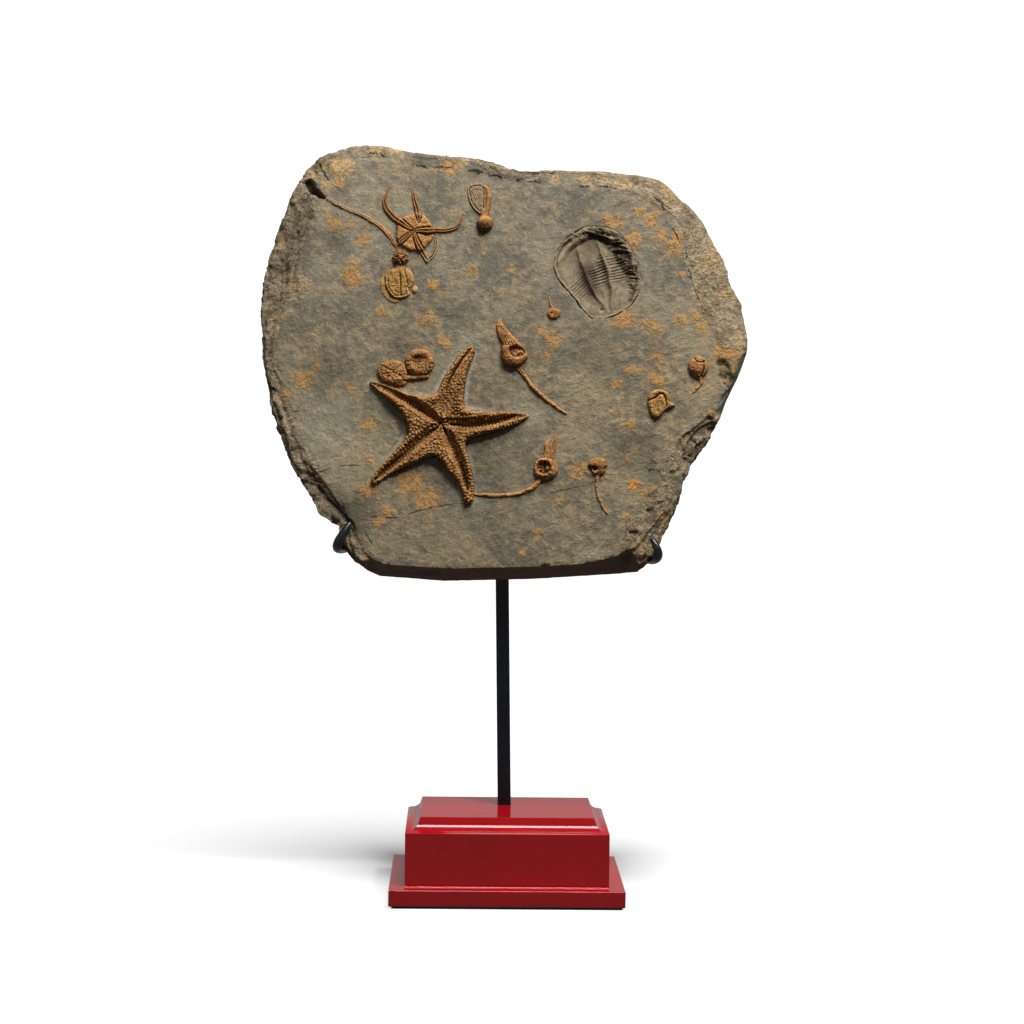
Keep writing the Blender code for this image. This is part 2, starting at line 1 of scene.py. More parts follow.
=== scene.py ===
"""Looks of the fossil starfish plate: a split mudstone slab with rusty fossils in relief, hooked onto a black
steel stand with a red lacquered base. Shapes are in millimetres in the slab's own frame: x runs right across
its face, y up it, and z out of it."""

import math
from types import SimpleNamespace

import bmesh
import bpy
import numpy as np
from mathutils import Matrix, Vector, kdtree, noise


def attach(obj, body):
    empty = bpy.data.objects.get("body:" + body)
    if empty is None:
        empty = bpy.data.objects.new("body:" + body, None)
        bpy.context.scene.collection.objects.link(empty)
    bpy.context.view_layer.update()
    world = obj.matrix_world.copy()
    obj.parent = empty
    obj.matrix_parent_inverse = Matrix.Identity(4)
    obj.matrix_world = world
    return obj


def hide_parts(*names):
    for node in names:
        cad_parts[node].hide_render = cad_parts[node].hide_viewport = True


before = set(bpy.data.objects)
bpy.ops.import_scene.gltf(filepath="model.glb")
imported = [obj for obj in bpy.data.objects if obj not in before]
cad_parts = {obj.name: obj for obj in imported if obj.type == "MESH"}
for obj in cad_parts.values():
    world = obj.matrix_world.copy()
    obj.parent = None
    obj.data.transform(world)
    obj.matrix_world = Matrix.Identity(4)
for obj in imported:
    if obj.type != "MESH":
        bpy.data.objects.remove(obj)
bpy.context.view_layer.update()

MM = 0.001
LEAN = 9.0
SLAB_FOOT = (0.0, -17.0, 223.5)
SLAB = Matrix.Translation(Vector(SLAB_FOOT) * MM) @ Matrix.Rotation(math.radians(90 - LEAN), 4, "X")
SLAB_THICK = 24.0


# Numbers over a surface


def ease(low, high, x):
    """Runs smoothly from 0 at low to 1 at high, which may be the smaller of the two."""
    t = np.clip((x - low) / (high - low), 0.0, 1.0)
    return t * t * (3 - 2 * t)


def mix(a, b, share):
    return a + (b - a) * share


def chance(i, j, seed):
    """A fixed value from 0 to 1 for each lattice point."""
    value = np.sin(i * 127.1 + j * 311.7 + seed * 74.7) * 43758.5453
    return value - np.floor(value)


def swell(x, y, size, seed):
    """Smooth bumps of one size, from -1 to 1."""
    x, y = x / size, y / size
    i, j = np.floor(x), np.floor(y)
    fx, fy = ease(0, 1, x - i), ease(0, 1, y - j)
    low = mix(chance(i, j, seed), chance(i + 1, j, seed), fx)
    high = mix(chance(i, j + 1, seed), chance(i + 1, j + 1, seed), fx)
    return 2 * mix(low, high, fy) - 1


def rough(x, y, size, seed, octaves=3):
    """Bumps of one size with ever smaller ones on them, from about -1 to 1."""
    total, weight = 0.0, 1.0
    for octave in range(octaves):
        total = total + weight * swell(x + 17 * octave, y - 9 * octave, size / 2**octave, seed + octave)
        weight *= 0.5
    return total / 1.75


def grains(x, y, size, seed, jitter=0.75):
    """Distance to the nearest and the next grain's middle, in grain sizes, and a value for each grain."""
    x, y = x / size, y / size
    cx, cy = np.floor(x), np.floor(y)
    first, second, value = np.full(x.shape, 9.0), np.full(x.shape, 9.0), np.zeros(x.shape)
    for dx in (-1, 0, 1):
        for dy in (-1, 0, 1):
            i, j = cx + dx, cy + dy
            middle_x = i + 0.5 + jitter * (chance(i, j, seed) - 0.5)
            middle_y = j + 0.5 + jitter * (chance(i, j, seed + 1) - 0.5)
            away = np.hypot(middle_x - x, middle_y - y)
            nearer = away < first
            second = np.where(nearer, first, np.minimum(second, away))
            value = np.where(nearer, chance(i, j, seed + 2), value)
            first = np.where(nearer, away, first)
    return first, second, value


def pebbles(x, y, size, seed, fill=0.62, jitter=0.75):
    """Round grains packed over a surface, from 0 between them to 1 on top."""
    first, _, value = grains(x, y, size, seed, jitter)
    return np.sqrt(np.clip(1 - (first / fill) ** 2, 0, 1)) * (0.75 + 0.25 * value)


def knobs(x, y, size, seed, jitter=0.85):
    """Lumps crowded side by side, with creases that meet where three of them do."""
    first, second, value = grains(x, y, size, seed, jitter)
    crease = np.sqrt(np.clip((second - first) / 0.7, 0, 1))
    crown = 1 - 0.6 * np.clip(first, 0, 1) ** 2
    return crease * crown * (0.65 + 0.35 * value)


def smooth_path(knots, step=1.2, places=2):
    """A smooth curve through the knots. Each begins with its two or three places, and all its numbers are
    carried along."""
    knots = np.array(knots, float)
    held = np.vstack([2 * knots[0] - knots[1], knots, 2 * knots[-1] - knots[-2]])
    path = []
    for before, start, stop, after in zip(held, held[1:], held[2:], held[3:]):
        count = max(2, int(math.dist(start[:places], stop[:places]) / step))
        bend = 2 * before - 5 * start + 4 * stop - after
        twist = 3 * start - before - 3 * stop + after
        for t in np.arange(count) / count:
            path.append(0.5 * (2 * start + (stop - before) * t + bend * t**2 + twist * t**3))
    return np.array([*path, knots[-1]])


def near(x, y, path):
    """Each point's distance from a path, its side of it, how far along it is, and the path's values there."""
    path = np.asarray(path, float)
    best = np.full(x.shape, 1e9)
    side, run = np.zeros(x.shape), np.zeros(x.shape)
    values = np.zeros((path.shape[1] - 2, *x.shape))
    length = 0.0
    for start, stop in zip(path, path[1:]):
        ex, ey = stop[0] - start[0], stop[1] - start[1]
        size = math.hypot(ex, ey)
        t = np.clip(((x - start[0]) * ex + (y - start[1]) * ey) / size**2, 0, 1)
        away = np.hypot(x - start[0] - t * ex, y - start[1] - t * ey)
        nearer = away < best
        best = np.where(nearer, away, best)
        side = np.where(nearer, np.sign(ex * (y - start[1]) - ey * (x - start[0])), side)
        run = np.where(nearer, length + t * size, run)
        for k in range(len(values)):
            values[k] = np.where(nearer, mix(start[2 + k], stop[2 + k], t), values[k])
        length += size
    return best, side, run, values


def inside(x, y, outline):
    """How far each point lies inside a closed outline, negative outside it."""
    outline = np.asarray(outline, float)
    away = near(x, y, np.vstack([outline, outline[:1]]))[0]
    within = np.zeros(x.shape, bool)
    for (ax, ay), (bx, by) in zip(outline, np.roll(outline, -1, 0)):
        if ay != by:
            within ^= ((ay > y) != (by > y)) & (x < (bx - ax) * (y - ay) / (by - ay) + ax)
    return np.where(within, away, -away)


def loop_path(knots, step=1.5):
    """A smooth closed curve through the knots."""
    knots = list(knots)
    path = smooth_path(knots[-2:] + knots + knots[:3], step)
    first = int(np.argmin(np.hypot(*(path - knots[0]).T)))
    rest = path[first + 8 :]
    last = first + 8 + int(np.argmin(np.hypot(*(rest - knots[0]).T)))
    return path[first:last]


def blurred(heights, reach):
    """A grid of heights smoothed over some grid steps."""
    weights = np.exp(-((np.arange(-2 * reach, 2 * reach + 1) / reach) ** 2))
    weights /= weights.sum()
    for axis in (0, 1):
        pad = [(0, 0), (0, 0)]
        pad[axis] = (2 * reach, 2 * reach)
        padded = np.pad(heights, pad, "edge")
        heights = np.apply_along_axis(lambda row: np.convolve(row, weights, "valid"), axis, padded)
    return heights


def round_over(inner, width):
    """Rises like a quarter circle from the edge to its full height at this width."""
    return np.sqrt(np.clip(1 - (1 - np.clip(inner / width, 0, 1)) ** 2, 0, 1))


def rod(x, y, knots, tall=None):
    """A round rod along knots of (x, y, radius): its height, and each point's share of the radius, how far
    along it is and on which side."""
    away, side, run, (radius,) = near(x, y, smooth_path(knots))
    share = away / radius
    up = np.sqrt(np.clip(1 - share**2, 0, 1)) * (radius if tall is None else tall * radius)
    return np.where(share < 1, up, -3.0 * (away - radius)), share, run, side


def bar(x, y, knots, tall=None):
    """A round rod's height alone."""
    return rod(x, y, knots, tall)[0]


def dome(x, y, middle, half, tall, turn=0.0, flat=2.0):
    """A rounded mound, and how far out each point is on it, from 0 in the middle to 1 at the edge."""
    cos, sin = math.cos(math.radians(turn)), math.sin(math.radians(turn))
    dx, dy = x - middle[0], y - middle[1]
    out = np.hypot((dx * cos + dy * sin) / half[0], (dy * cos - dx * sin) / half[1])
    up = np.clip(1 - out**flat, 0, 1) ** (1 / flat) * tall
    return np.where(out < 1, up, -3.0 * (out - 1) * min(half)), out


def hollowed(heights, x, y, middle, half, floor, turn=0.0, wall=0.35):
    """Caves a mound in, down to the floor's height."""
    out = dome(x, y, middle, half, 1.0, turn)[1]
    return mix(heights, np.minimum(heights, floor), 1 - ease(1 - wall, 1 + wall, out))


# Pieces


def only(piece):
    """Selects one piece and makes it the active one."""
    bpy.ops.object.select_all(action="DESELECT")
    piece.select_set(True)
    bpy.context.view_layer.objects.active = piece


def modified(piece, kind, **settings):
    """Adds a modifier with these settings and applies it."""
    step = piece.modifiers.new(kind.lower(), kind)
    for name, value in settings.items():
        setattr(step, name, value)
    only(piece)
    bpy.ops.object.modifier_apply(modifier=step.name)


def points_of(piece):
    points = np.empty(3 * len(piece.data.vertices))
    piece.data.vertices.foreach_get("co", points)
    return points.reshape(-1, 3)


def move_points(piece, points):
    piece.data.vertices.foreach_set("co", points.ravel())
    piece.data.update()


def choose(piece, wanted):
    """Selects only these vertices, in edit mode."""
    only(piece)
    bpy.ops.object.mode_set(mode="EDIT")
    bpy.ops.mesh.select_mode(type="VERT")
    bpy.ops.mesh.select_all(action="DESELECT")
    bpy.ops.object.mode_set(mode="OBJECT")
    piece.data.vertices.foreach_set("select", wanted)
    bpy.ops.object.mode_set(mode="EDIT")


def store(piece, name, values):
    """Keeps one value for each point of the piece, for its finish to read."""
    attribute = piece.data.attributes.new(name, "FLOAT", "POINT")
    attribute.data.foreach_set("value", np.ascontiguousarray(values, np.float32).ravel())


def finished(piece, name, finish, slot, *nodes):
    """Names a piece, gives it its finish and body, and lets it stand for CAD nodes."""
    piece.name = name
    piece.data.name = name
    piece.data.materials.clear()
    piece.data.materials.append(finish)
    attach(piece, "root")
    if nodes:
        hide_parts(*nodes)
    return piece


def lifted_grid(low, high, pitch, shape, steps):
    """A fine grid lifted to the shape's height, which keeps its creases, for painted shade and grime in them
    and a painted highlight on the crests, and its shades, and that height.
    """
    columns = round((high[0] - low[0]) / pitch)
    rows = round((high[1] - low[1]) / pitch)
    bpy.ops.object.select_all(action="DESELECT")
    bpy.ops.mesh.primitive_grid_add(x_subdivisions=columns, y_subdivisions=rows, size=1.0)
    piece = bpy.context.object
    points = points_of(piece)
    x = mix(low[0], high[0], points[:, 0] + 0.5)
    y = mix(low[1], high[1], points[:, 1] + 0.5)
    up, shade = shape(x, y)
    # a crease is as deep as the ground round it stands higher; the finish paints shade and grime into it
    order = np.lexsort((points[:, 0], points[:, 1]))
    raised = np.maximum(up[order].reshape(rows + 1, columns + 1), -0.3)
    crevice_grime_and_shade = np.empty_like(up)
    crevice_grime_and_shade[order] = (blurred(raised, steps) - raised).ravel()
    move_points(piece, np.column_stack([x, y, up]))
    store(piece, "crevice_grime_and_shade", crevice_grime_and_shade)
    store(piece, "shade", shade)
    return piece, up


def close_below(piece, level):
    """In edit mode, draws the open edge of a surface down to a level and fills it flat."""
    bpy.ops.mesh.select_all(action="DESELECT")
    bpy.ops.mesh.select_non_manifold()
    bpy.ops.mesh.extrude_edges_move()
    bpy.ops.object.mode_set(mode="OBJECT")
    points = points_of(piece)
    chosen = np.empty(len(points), bool)
    piece.data.vertices.foreach_get("select", chosen)
    points[chosen, 2] = level
    move_points(piece, points)
    bpy.ops.object.mode_set(mode="EDIT")
    bpy.ops.mesh.fill(use_beauty=False)
    bpy.ops.mesh.select_all(action="SELECT")
    bpy.ops.mesh.normals_make_consistent(inside=False)
    bpy.ops.object.mode_set(mode="OBJECT")


def relief(name, node, low, high, pitch, shape, finish, slot="fossil", steps=2, sunk=-2.2):
    """A fossil: its shape's surface, as far down as it is sunk in the stone, closed with a flat underside."""
    piece, up = lifted_grid(low, high, pitch, shape, steps)
    choose(piece, up < sunk)
    bpy.ops.mesh.delete(type="VERT")
    bpy.ops.mesh.delete_loose()
    close_below(piece, sunk - 0.2)
    bpy.ops.object.shade_smooth()
    piece.data.transform(SLAB @ Matrix.Scale(MM, 4))
    return finished(piece, name, finish, slot, node)


# Finishes


class Finish:
    """A Principled material whose nodes are added one call at a time."""

    def __init__(self, name, roughness, on_slab=True, **sockets):
        self.material = bpy.data.materials.new(name)
        self.material.use_nodes = True
        self.tree = self.material.node_tree
        self.shader = self.tree.nodes["Principled BSDF"]
        self.shader.inputs["Roughness"].default_value = roughness
        for socket, value in sockets.items():
            self.shader.inputs[socket.replace("_", " ")].default_value = value
        # the place in millimetres, in the slab's frame for what is on the slab
        where = self.tree.nodes.new("ShaderNodeMapping")
        where.vector_type = "TEXTURE"
        where.inputs["Scale"].default_value = (MM, MM, MM)
        if on_slab:
            where.inputs["Location"].default_value = SLAB.translation
            where.inputs["Rotation"].default_value = SLAB.to_euler()
        self.join(self.tree.nodes.new("ShaderNodeTexCoord").outputs["Object"], where.inputs["Vector"])
        self.place = where.outputs[0]

    def join(self, value, socket):
        """Links another node's value to a socket, or sets the socket to a number or a colour."""
        if isinstance(value, bpy.types.NodeSocket):
            self.tree.links.new(value, socket)
        elif hasattr(value, "__len__") and len(value) == 3 and len(socket.default_value) == 4:
            socket.default_value = (*value, 1.0)
        else:
            socket.default_value = value

    def vector(self, operation, a, b=None, scale=None):
        node = self.tree.nodes.new("ShaderNodeVectorMath")
        node.operation = operation
        self.join(a, node.inputs[0])
        if b is not None:
            self.join(b, node.inputs[1])
        if scale is not None:
            node.inputs["Scale"].default_value = scale
        return node.outputs["Value" if operation == "LENGTH" else "Vector"]

    def math(self, operation, a, b=0.0):
        node = self.tree.nodes.new("ShaderNodeMath")
        node.operation = operation
        self.join(a, node.inputs[0])
        self.join(b, node.inputs[1])
        return node.outputs[0]

    def both(self, a, b):
        return self.math("MULTIPLY", a, b)

    def wander(self, value, source, amount):
        """Shifts a value up and down by noise, so that its limits wander."""
        return self.math("ADD", value, self.both(self.math("SUBTRACT", source, 0.5), amount))

    def noise(self, size, detail=4.0, roughness=0.55, place=None):
        """Noise whose features are about this many millimetres across, from 0 to 1."""
        node = self.tree.nodes.new("ShaderNodeTexNoise")
        node.inputs["Scale"].default_value = 1.0 / size
        node.inputs["Detail"].default_value = detail
        node.inputs["Roughness"].default_value = roughness
        self.join(self.place if place is None else place, node.inputs["Vector"])
        return node.outputs[0]

    def cloud(self, size):
        """A smooth shift from noise, different in each direction."""
        node = self.tree.nodes.new("ShaderNodeTexNoise")
        node.inputs["Scale"].default_value = 1.0 / size
        node.inputs["Detail"].default_value = 2.0
        self.join(self.place, node.inputs["Vector"])
        return node.outputs["Color"]

    def stretched(self, turn, sizes, place=None):
        """The place turned in the slab's plane and divided by a feature's sizes, for streaks and layers."""
        node = self.tree.nodes.new("ShaderNodeMapping")
        node.vector_type = "TEXTURE"
        node.inputs["Rotation"].default_value = (0, 0, math.radians(turn))
        node.inputs["Scale"].default_value = sizes
        self.join(self.place if place is None else place, node.inputs["Vector"])
        return node.outputs[0]

    def stored(self, name):
        """A value kept on the piece's points."""
        node = self.tree.nodes.new("ShaderNodeAttribute")
        node.attribute_name = name
        return node.outputs["Fac"]

    def step(self, value, low, high, to_low=0.0, to_high=1.0):
        """Runs smoothly between two limits of a value."""
        node = self.tree.nodes.new("ShaderNodeMapRange")
        node.interpolation_type = "SMOOTHSTEP"
        self.join(value, node.inputs["Value"])
        for socket, number in zip(("From Min", "From Max", "To Min", "To Max"), (low, high, to_low, to_high)):
            node.inputs[socket].default_value = number
        return node.outputs[0]

    def blend(self, share, a, b, kind="MIX"):
        """Goes from colour a to colour b by the share."""
        node = self.tree.nodes.new("ShaderNodeMix")
        node.data_type = "RGBA"
        node.blend_type = kind
        self.join(share, node.inputs[0])
        self.join(a, node.inputs[6])
        self.join(b, node.inputs[7])
        return node.outputs[2]

    def tinted(self, colour, tint):
        return self.blend(1.0, colour, tint, "MULTIPLY")

    def bump(self, height, distance, strength=1.0, normal=None):
        """Raises the surface by a height of 0 to 1 times so many millimetres."""
        node = self.tree.nodes.new("ShaderNodeBump")
        node.inputs["Strength"].default_value = strength
        node.inputs["Distance"].default_value = distance * MM
        self.join(height, node.inputs["Height"])
        if normal is not None:
            self.join(normal, node.inputs["Normal"])
        return node.outputs[0]

    def done(self, colour, normal=None, roughness=None):
        self.join(colour, self.shader.inputs["Base Color"])
        if normal is not None:
            self.join(normal, self.shader.inputs["Normal"])
        if roughness is not None:
            self.join(roughness, self.shader.inputs["Roughness"])
        return self.material


GREY = (0.182, 0.158, 0.110)
DARK_GREY = (0.106, 0.095, 0.070)
LOWER_TINT = (0.98, 0.945, 0.85)
TAN = (0.240, 0.175, 0.100)
PALE = (0.285, 0.272, 0.205)
OCHRE = (0.315, 0.168, 0.045)
DARK_OCHRE = (0.175, 0.092, 0.036)
ORANGE = (0.42, 0.18, 0.045)
RUST = (0.16, 0.068, 0.025)
BROKEN = (0.270, 0.212, 0.136)
DARK_BROKEN = (0.138, 0.108, 0.067)
BARED, PALE_BARED = (0.22, 0.135, 0.06), (0.36, 0.26, 0.13)
SAWN, PALE_SAWN = (0.165, 0.152, 0.108), (0.205, 0.182, 0.130)
SALT = (0.40, 0.36, 0.28)
DARK = (0.012, 0.009, 0.006)


class Mudstone(Finish):
    """Fine grey-green stone with warm clouds, rust stains, hairline cracks and browner broken edges."""

    def __init__(self):
        super().__init__("split mudstone", 0.88, Specular_IOR_Level=0.25)
        self.middling = self.noise(6, 5, 0.62)
        self.small = self.noise(2.0, 4, 0.65)
        self.crumbs = self.noise(3.0, 6, 0.7)
        self.layers = self.noise(1.0, 3, 0.6, self.stretched(0, (26, 26, 1.5)))
        self.streaks = self.brushed()
        self.stains = self.stained()
        self.cracks = self.cracked()

    def brushed(self):
        """Faint streaks in the two ways in which the face was brushed clean."""
        bend = self.vector("ADD", self.place, self.vector("SCALE", self.cloud(18), scale=9.0))
        right = self.noise(1.0, 5, 0.7, self.stretched(27, (15, 2.6, 14), bend))
        left = self.noise(1.0, 5, 0.7, self.stretched(58, (13, 2.8, 14), bend))
        right = self.both(right, self.stored("streaked"))
        return self.math("ADD", right, self.both(left, self.stored("streaked_left")))

    def stained(self):
        """How rusty each place is: ragged patches, each with a faint fringe."""
        stain = self.wander(self.wander(self.stored("ochre"), self.noise(6, 3, 0.5), 1.3), self.small, 0.25)
        return self.math("MAXIMUM", self.step(stain, 0.38, 0.70), self.step(stain, 0.05, 0.5, 0.0, 0.35))

    def cracked(self):
        """Thin crooked lines, open in some places and closed in others."""
        line = self.math("ABSOLUTE", self.wander(self.stored("crack"), self.noise(2.2, 3), 2.0))
        open_parts = self.both(self.stored("crack_on"), self.step(self.noise(9, 2), 0.42, 0.54))
        return self.both(self.step(line, 0.12, 0.5, 1.0, 0.0), open_parts)

    def bedding_face(self):
        """Grey clouds, warmer lower down, with a thin tan film, pale places and streaks."""
        clouds = self.wander(self.noise(38, 5), self.middling, 0.6)
        colour = self.blend(self.step(clouds, 0.36, 0.64), DARK_GREY, GREY)
        height = self.tree.nodes.new("ShaderNodeSeparateXYZ")
        self.join(self.place, height.inputs[0])
        lower = self.step(height.outputs["Y"], 235, 120)
        colour = self.blend(lower, colour, self.tinted(colour, LOWER_TINT))
        film = self.wander(self.wander(self.noise(24, 6, 0.6), self.middling, 0.6), self.small, 0.35)
        colour = self.blend(self.both(self.step(film, 0.44, 0.78), 0.8), colour, TAN)
        colour = self.blend(self.both(self.stored("pale"), 0.7), colour, PALE)
        streaked = self.step(self.streaks, 0.15, 0.6)
        return self.tinted(colour, self.blend(streaked, (0.92, 0.92, 0.93), (1.07, 1.06, 1.05)))

    def rusted(self, colour):
        """Tan to ochre stains with darker spots and bright hearts, and small flecks between them."""
        blotches = self.step(self.wander(self.noise(3.5, 3, 0.5), self.small, 0.3), 0.30, 0.52)
        mineral = self.blend(blotches, TAN, OCHRE)
        spots = self.step(self.wander(self.noise(4, 4, 0.6), self.small, 0.3), 0.50, 0.36, 0.0, 0.8)
        mineral = self.blend(spots, mineral, DARK_OCHRE)
        colour = self.blend(self.both(self.stains, 0.86), colour, mineral)
        hearts = self.wander(self.wander(self.stored("rust"), self.middling, 0.7), self.small, 1.0)
        bright = self.blend(self.step(self.small, 0.4, 0.6), RUST, ORANGE)
        colour = self.blend(self.both(self.step(hearts, 0.50, 0.9), 0.85), colour, bright)
        flecks = self.step(self.noise(2.8, 4, 0.7), 0.54, 0.70)
        flecks = self.both(flecks, self.step(self.noise(20, 3), 0.40, 0.60))
        return self.blend(self.both(flecks, 0.6), colour, OCHRE)

    def broken_edges(self, colour):
        """Crumbling browner stone, with ochre in places and painted light and shade on its crumbs."""
        weathered = self.step(self.wander(self.noise(13, 5, 0.65), self.small, 0.4), 0.36, 0.62)
        brown = self.blend(weathered, DARK_BROKEN, BROKEN)
        brown = self.blend(self.both(self.step(self.noise(15, 4, 0.6), 0.55, 0.75), 0.6), brown, OCHRE)
        # the crumbs are painted lighter where they stand up and darker between them, as their light and shade
        crumb_light_and_shade = self.step(self.crumbs, 0.34, 0.66)
        brown = self.tinted(brown, self.blend(crumb_light_and_shade, (0.72, 0.70, 0.67), (1.25, 1.22, 1.17)))
        broken = self.wander(self.wander(self.stored("broken"), self.middling, 0.9), self.small, 0.4)
        return self.blend(self.both(self.step(broken, 0.3, 0.75), 0.9), colour, brown)

    def darkened(self, colour):
        """The broad darker places: darker stone on the face, and painted shade in the nook and along the
        broken margins.
        """
        dark_tone_and_shade = self.step(self.wander(self.stored("dark_tone_and_shade"), self.middling, 0.5), 0.1, 1.0)
        return self.blend(self.both(dark_tone_and_shade, 0.9), colour, self.tinted(colour, (0.62, 0.63, 0.63)))

    def bared(self, colour):
        """Sheets of tan stone laid bare round the edges, and the thin layers of the steep sides."""
        patches = self.wander(self.wander(self.stored("tan"), self.noise(5, 3, 0.5), 1.2), self.small, 0.5)
        sheet = self.blend(self.step(self.small, 0.35, 0.65), BARED, PALE_BARED)
        colour = self.blend(self.both(self.step(patches, 0.32, 0.72), 0.8), colour, sheet)
        return self.blend(self.stored("sawn"), colour, self.blend(self.layers, SAWN, PALE_SAWN))

    def grained(self, colour):
        """Fine mottling, pale specks, painted shade with grime in the hollows, and dark cracks."""
        fine = self.step(self.wander(self.noise(0.9, 3, 0.6), self.small, 0.6), 0.2, 0.8)
        colour = self.tinted(colour, self.blend(fine, (0.82, 0.82, 0.82), (1.18, 1.17, 1.15)))
        specks = self.step(self.noise(0.7, 1, 0.5), 0.68, 0.75)
        colour = self.blend(self.both(specks, 0.25), colour, SALT)
        # painted shade and grime in the crevices, the nook and the wedge, and the painted shadow under the
        # lower ledge
        hollow_grime_and_shade = self.step(self.stored("crevice_grime_and_shade"), 0.02, 0.9)
        colour = self.blend(self.both(hollow_grime_and_shade, 0.65), colour, DARK)
        return self.blend(self.both(self.cracks, 0.85), colour, DARK)

    def uneven(self):
        """Every grain, streak, crumb and layer stands out a little, and the cracks are sunk."""
        normal = self.bump(self.noise(0.9, 3, 0.65), 0.35, 0.5)
        for height, distance, strength in (
            (self.small, 0.7, 0.6),
            (self.middling, 2.0, 0.65),
            (self.streaks, 1.5, 0.5),
            (self.both(self.stains, self.small), 0.8, 0.5),
            (self.both(self.crumbs, self.stored("broken")), 2.6, 0.8),
            (self.both(self.layers, self.stored("sawn")), 0.9, 0.8),
            (self.cracks, -1.0, 1.0),
        ):
            normal = self.bump(height, distance, strength, normal)
        return normal


def mudstone():
    stone = Mudstone()
    colour = stone.bedding_face()
    for layer in (stone.rusted, stone.broken_edges, stone.darkened, stone.bared, stone.grained):
        colour = layer(colour)
    return stone.done(colour, stone.uneven())


def fossil_finish(name, body, deep, light, other, grain=0.9, speckle=0.36):
    """Rusty mineral, stony where it is worn, with a painted highlight on the high grains and painted shade
    with grime, near black, in the hollows.
    """
    fossil = Finish(name, 0.8, Specular_IOR_Level=0.1)
    colour = fossil.blend(fossil.step(fossil.noise(3.5, 5, 0.6), 0.38, 0.66), body, light)
    # a shade below nought is lighter and then the other colour, and above nought it is the deep one
    shade = fossil.stored("shade")
    worn = fossil.blend(fossil.noise(1.3, 2), body, fossil.tinted(light, (1.5, 1.5, 1.5)))
    colour = fossil.blend(fossil.step(shade, 0.0, -0.45, 0.0, 0.8), colour, worn)
    colour = fossil.blend(fossil.step(shade, -0.45, -1.0, 0.0, 0.95), colour, other)
    colour = fossil.blend(fossil.step(shade, 0.0, 1.0, 0.0, 0.95), colour, deep)
    crevice_grime_and_shade = fossil.stored("crevice_grime_and_shade")
    # a painted highlight on the crests, then painted shade with grime, near black, in the hollows
    colour = fossil.blend(fossil.step(crevice_grime_and_shade, -0.5, -0.08, 0.55, 0.0), colour, light)
    colour = fossil.blend(fossil.step(crevice_grime_and_shade, -0.03, 0.38, 0.0, 0.94), colour, DARK)
    darker = [1 - part * speckle for part in (1, 1.1, 1.3)]
    lighter = [1 + part * speckle for part in (0.95, 0.9, 0.8)]
    fine = fossil.step(fossil.noise(0.8, 3, 0.6), 0.3, 0.7)
    colour = fossil.tinted(colour, fossil.blend(fine, darker, lighter))
    return fossil.done(colour, fossil.bump(fossil.noise(grain, 3, 0.6), 0.5, 0.7))


def lacquer_finish():
    """Deep red gloss lacquer, brushed on wood, with the faintest unevenness."""
    lacquer = Finish("red lacquer", 0.08, False, IOR=1.36)
    thick = lacquer.step(lacquer.noise(40, 3), 0.3, 0.7)
    colour = lacquer.blend(thick, (0.265, 0.0014, 0.0036), (0.295, 0.0018, 0.0046))
    dust = lacquer.step(lacquer.noise(0.5, 2), 0.70, 0.78)
    colour = lacquer.blend(lacquer.both(dust, 0.05), colour, (0.5, 0.2, 0.2))
    normal = lacquer.bump(lacquer.noise(30, 2, 0.4), 0.015, 0.2)
    return lacquer.done(colour, normal, lacquer.step(lacquer.noise(9, 4), 0.3, 0.7, 0.05, 0.08))


def steel_finish(name="black satin paint", gloss=0.0):
    """Black paint on steel, slightly blue, with brush marks and rubbed places."""
    paint = Finish(name, 0.36, False, IOR=1.3 + 0.25 * gloss)
    worn = paint.step(paint.noise(5, 4, 0.65), 0.52, 0.75)
    colour = paint.blend(worn, (0.0022, 0.0026, 0.0044), (0.006, 0.007, 0.011))
    normal = paint.bump(paint.noise(1.6, 3), 0.12, 0.5)
    smooth, dull = 0.28 - 0.1 * gloss, 0.42 - 0.16 * gloss
    return paint.done(colour, normal, paint.step(paint.noise(7, 3), 0.3, 0.7, smooth, dull))


def felt_finish():
    """Short black felt."""
    felt = Finish("black felt", 0.95, False)
    fibres = felt.noise(0.4, 4, 0.7)
    colour = felt.blend(fibres, (0.008, 0.008, 0.009), (0.028, 0.027, 0.027))
    return felt.done(colour, felt.bump(fibres, 0.3, 0.8))


# The slab

# Rust stains on the face: middle and radius, in millimetres
OCHRE_STAINS = [
    (-104, 198, 9), (-53, 169, 8), (-50, 192, 5), (-45, 186, 4), (-106, 235, 4), (-94, 232, 3),
    (-118, 234, 7), (-98, 223, 5), (-114, 274, 9), (-114, 262, 5), (-40, 153, 5), (-85, 173, 4),
    (-24, 202, 4), (4, 204, 4), (-149, 116, 6), (-137, 126, 8), (-91, 97, 6), (-92, 73, 6), (-65, 58, 11),
    (-52, 47, 10), (-91, 52, 8), (-84, 30, 5), (-78, 37, 5), (-104, 121, 5), (-128, 134, 5), (29, 147, 6),
    (33, 156, 6), (25, 161, 4), (103, 161, 6), (104, 145, 7), (103, 129, 6), (76, 126, 5), (87, 136, 6),
    (84, 99, 4), (153, 149, 12), (141, 106, 5), (98, 50, 8), (38, 45, 4), (50, 65, 7), (12, 11, 4),
    (24, 23, 4), (95, 20, 6), (118, 76, 5), (73, 237, 9), (88, 225, 7), (99, 240, 7), (106, 229, 8),
    (118, 224, 12), (106, 251, 8), (90, 246, 4), (87, 57, 6), (147, 149, 7), (155, 136, 5), (82, 34, 5),
    (92, 17, 5), (104, 46, 6), (120, 171, 8), (137, 172, 13), (98, 167, 5), (-40, 275, 7), (80, 171, 9),
    (-72, 122, 6),
]  # fmt: skip
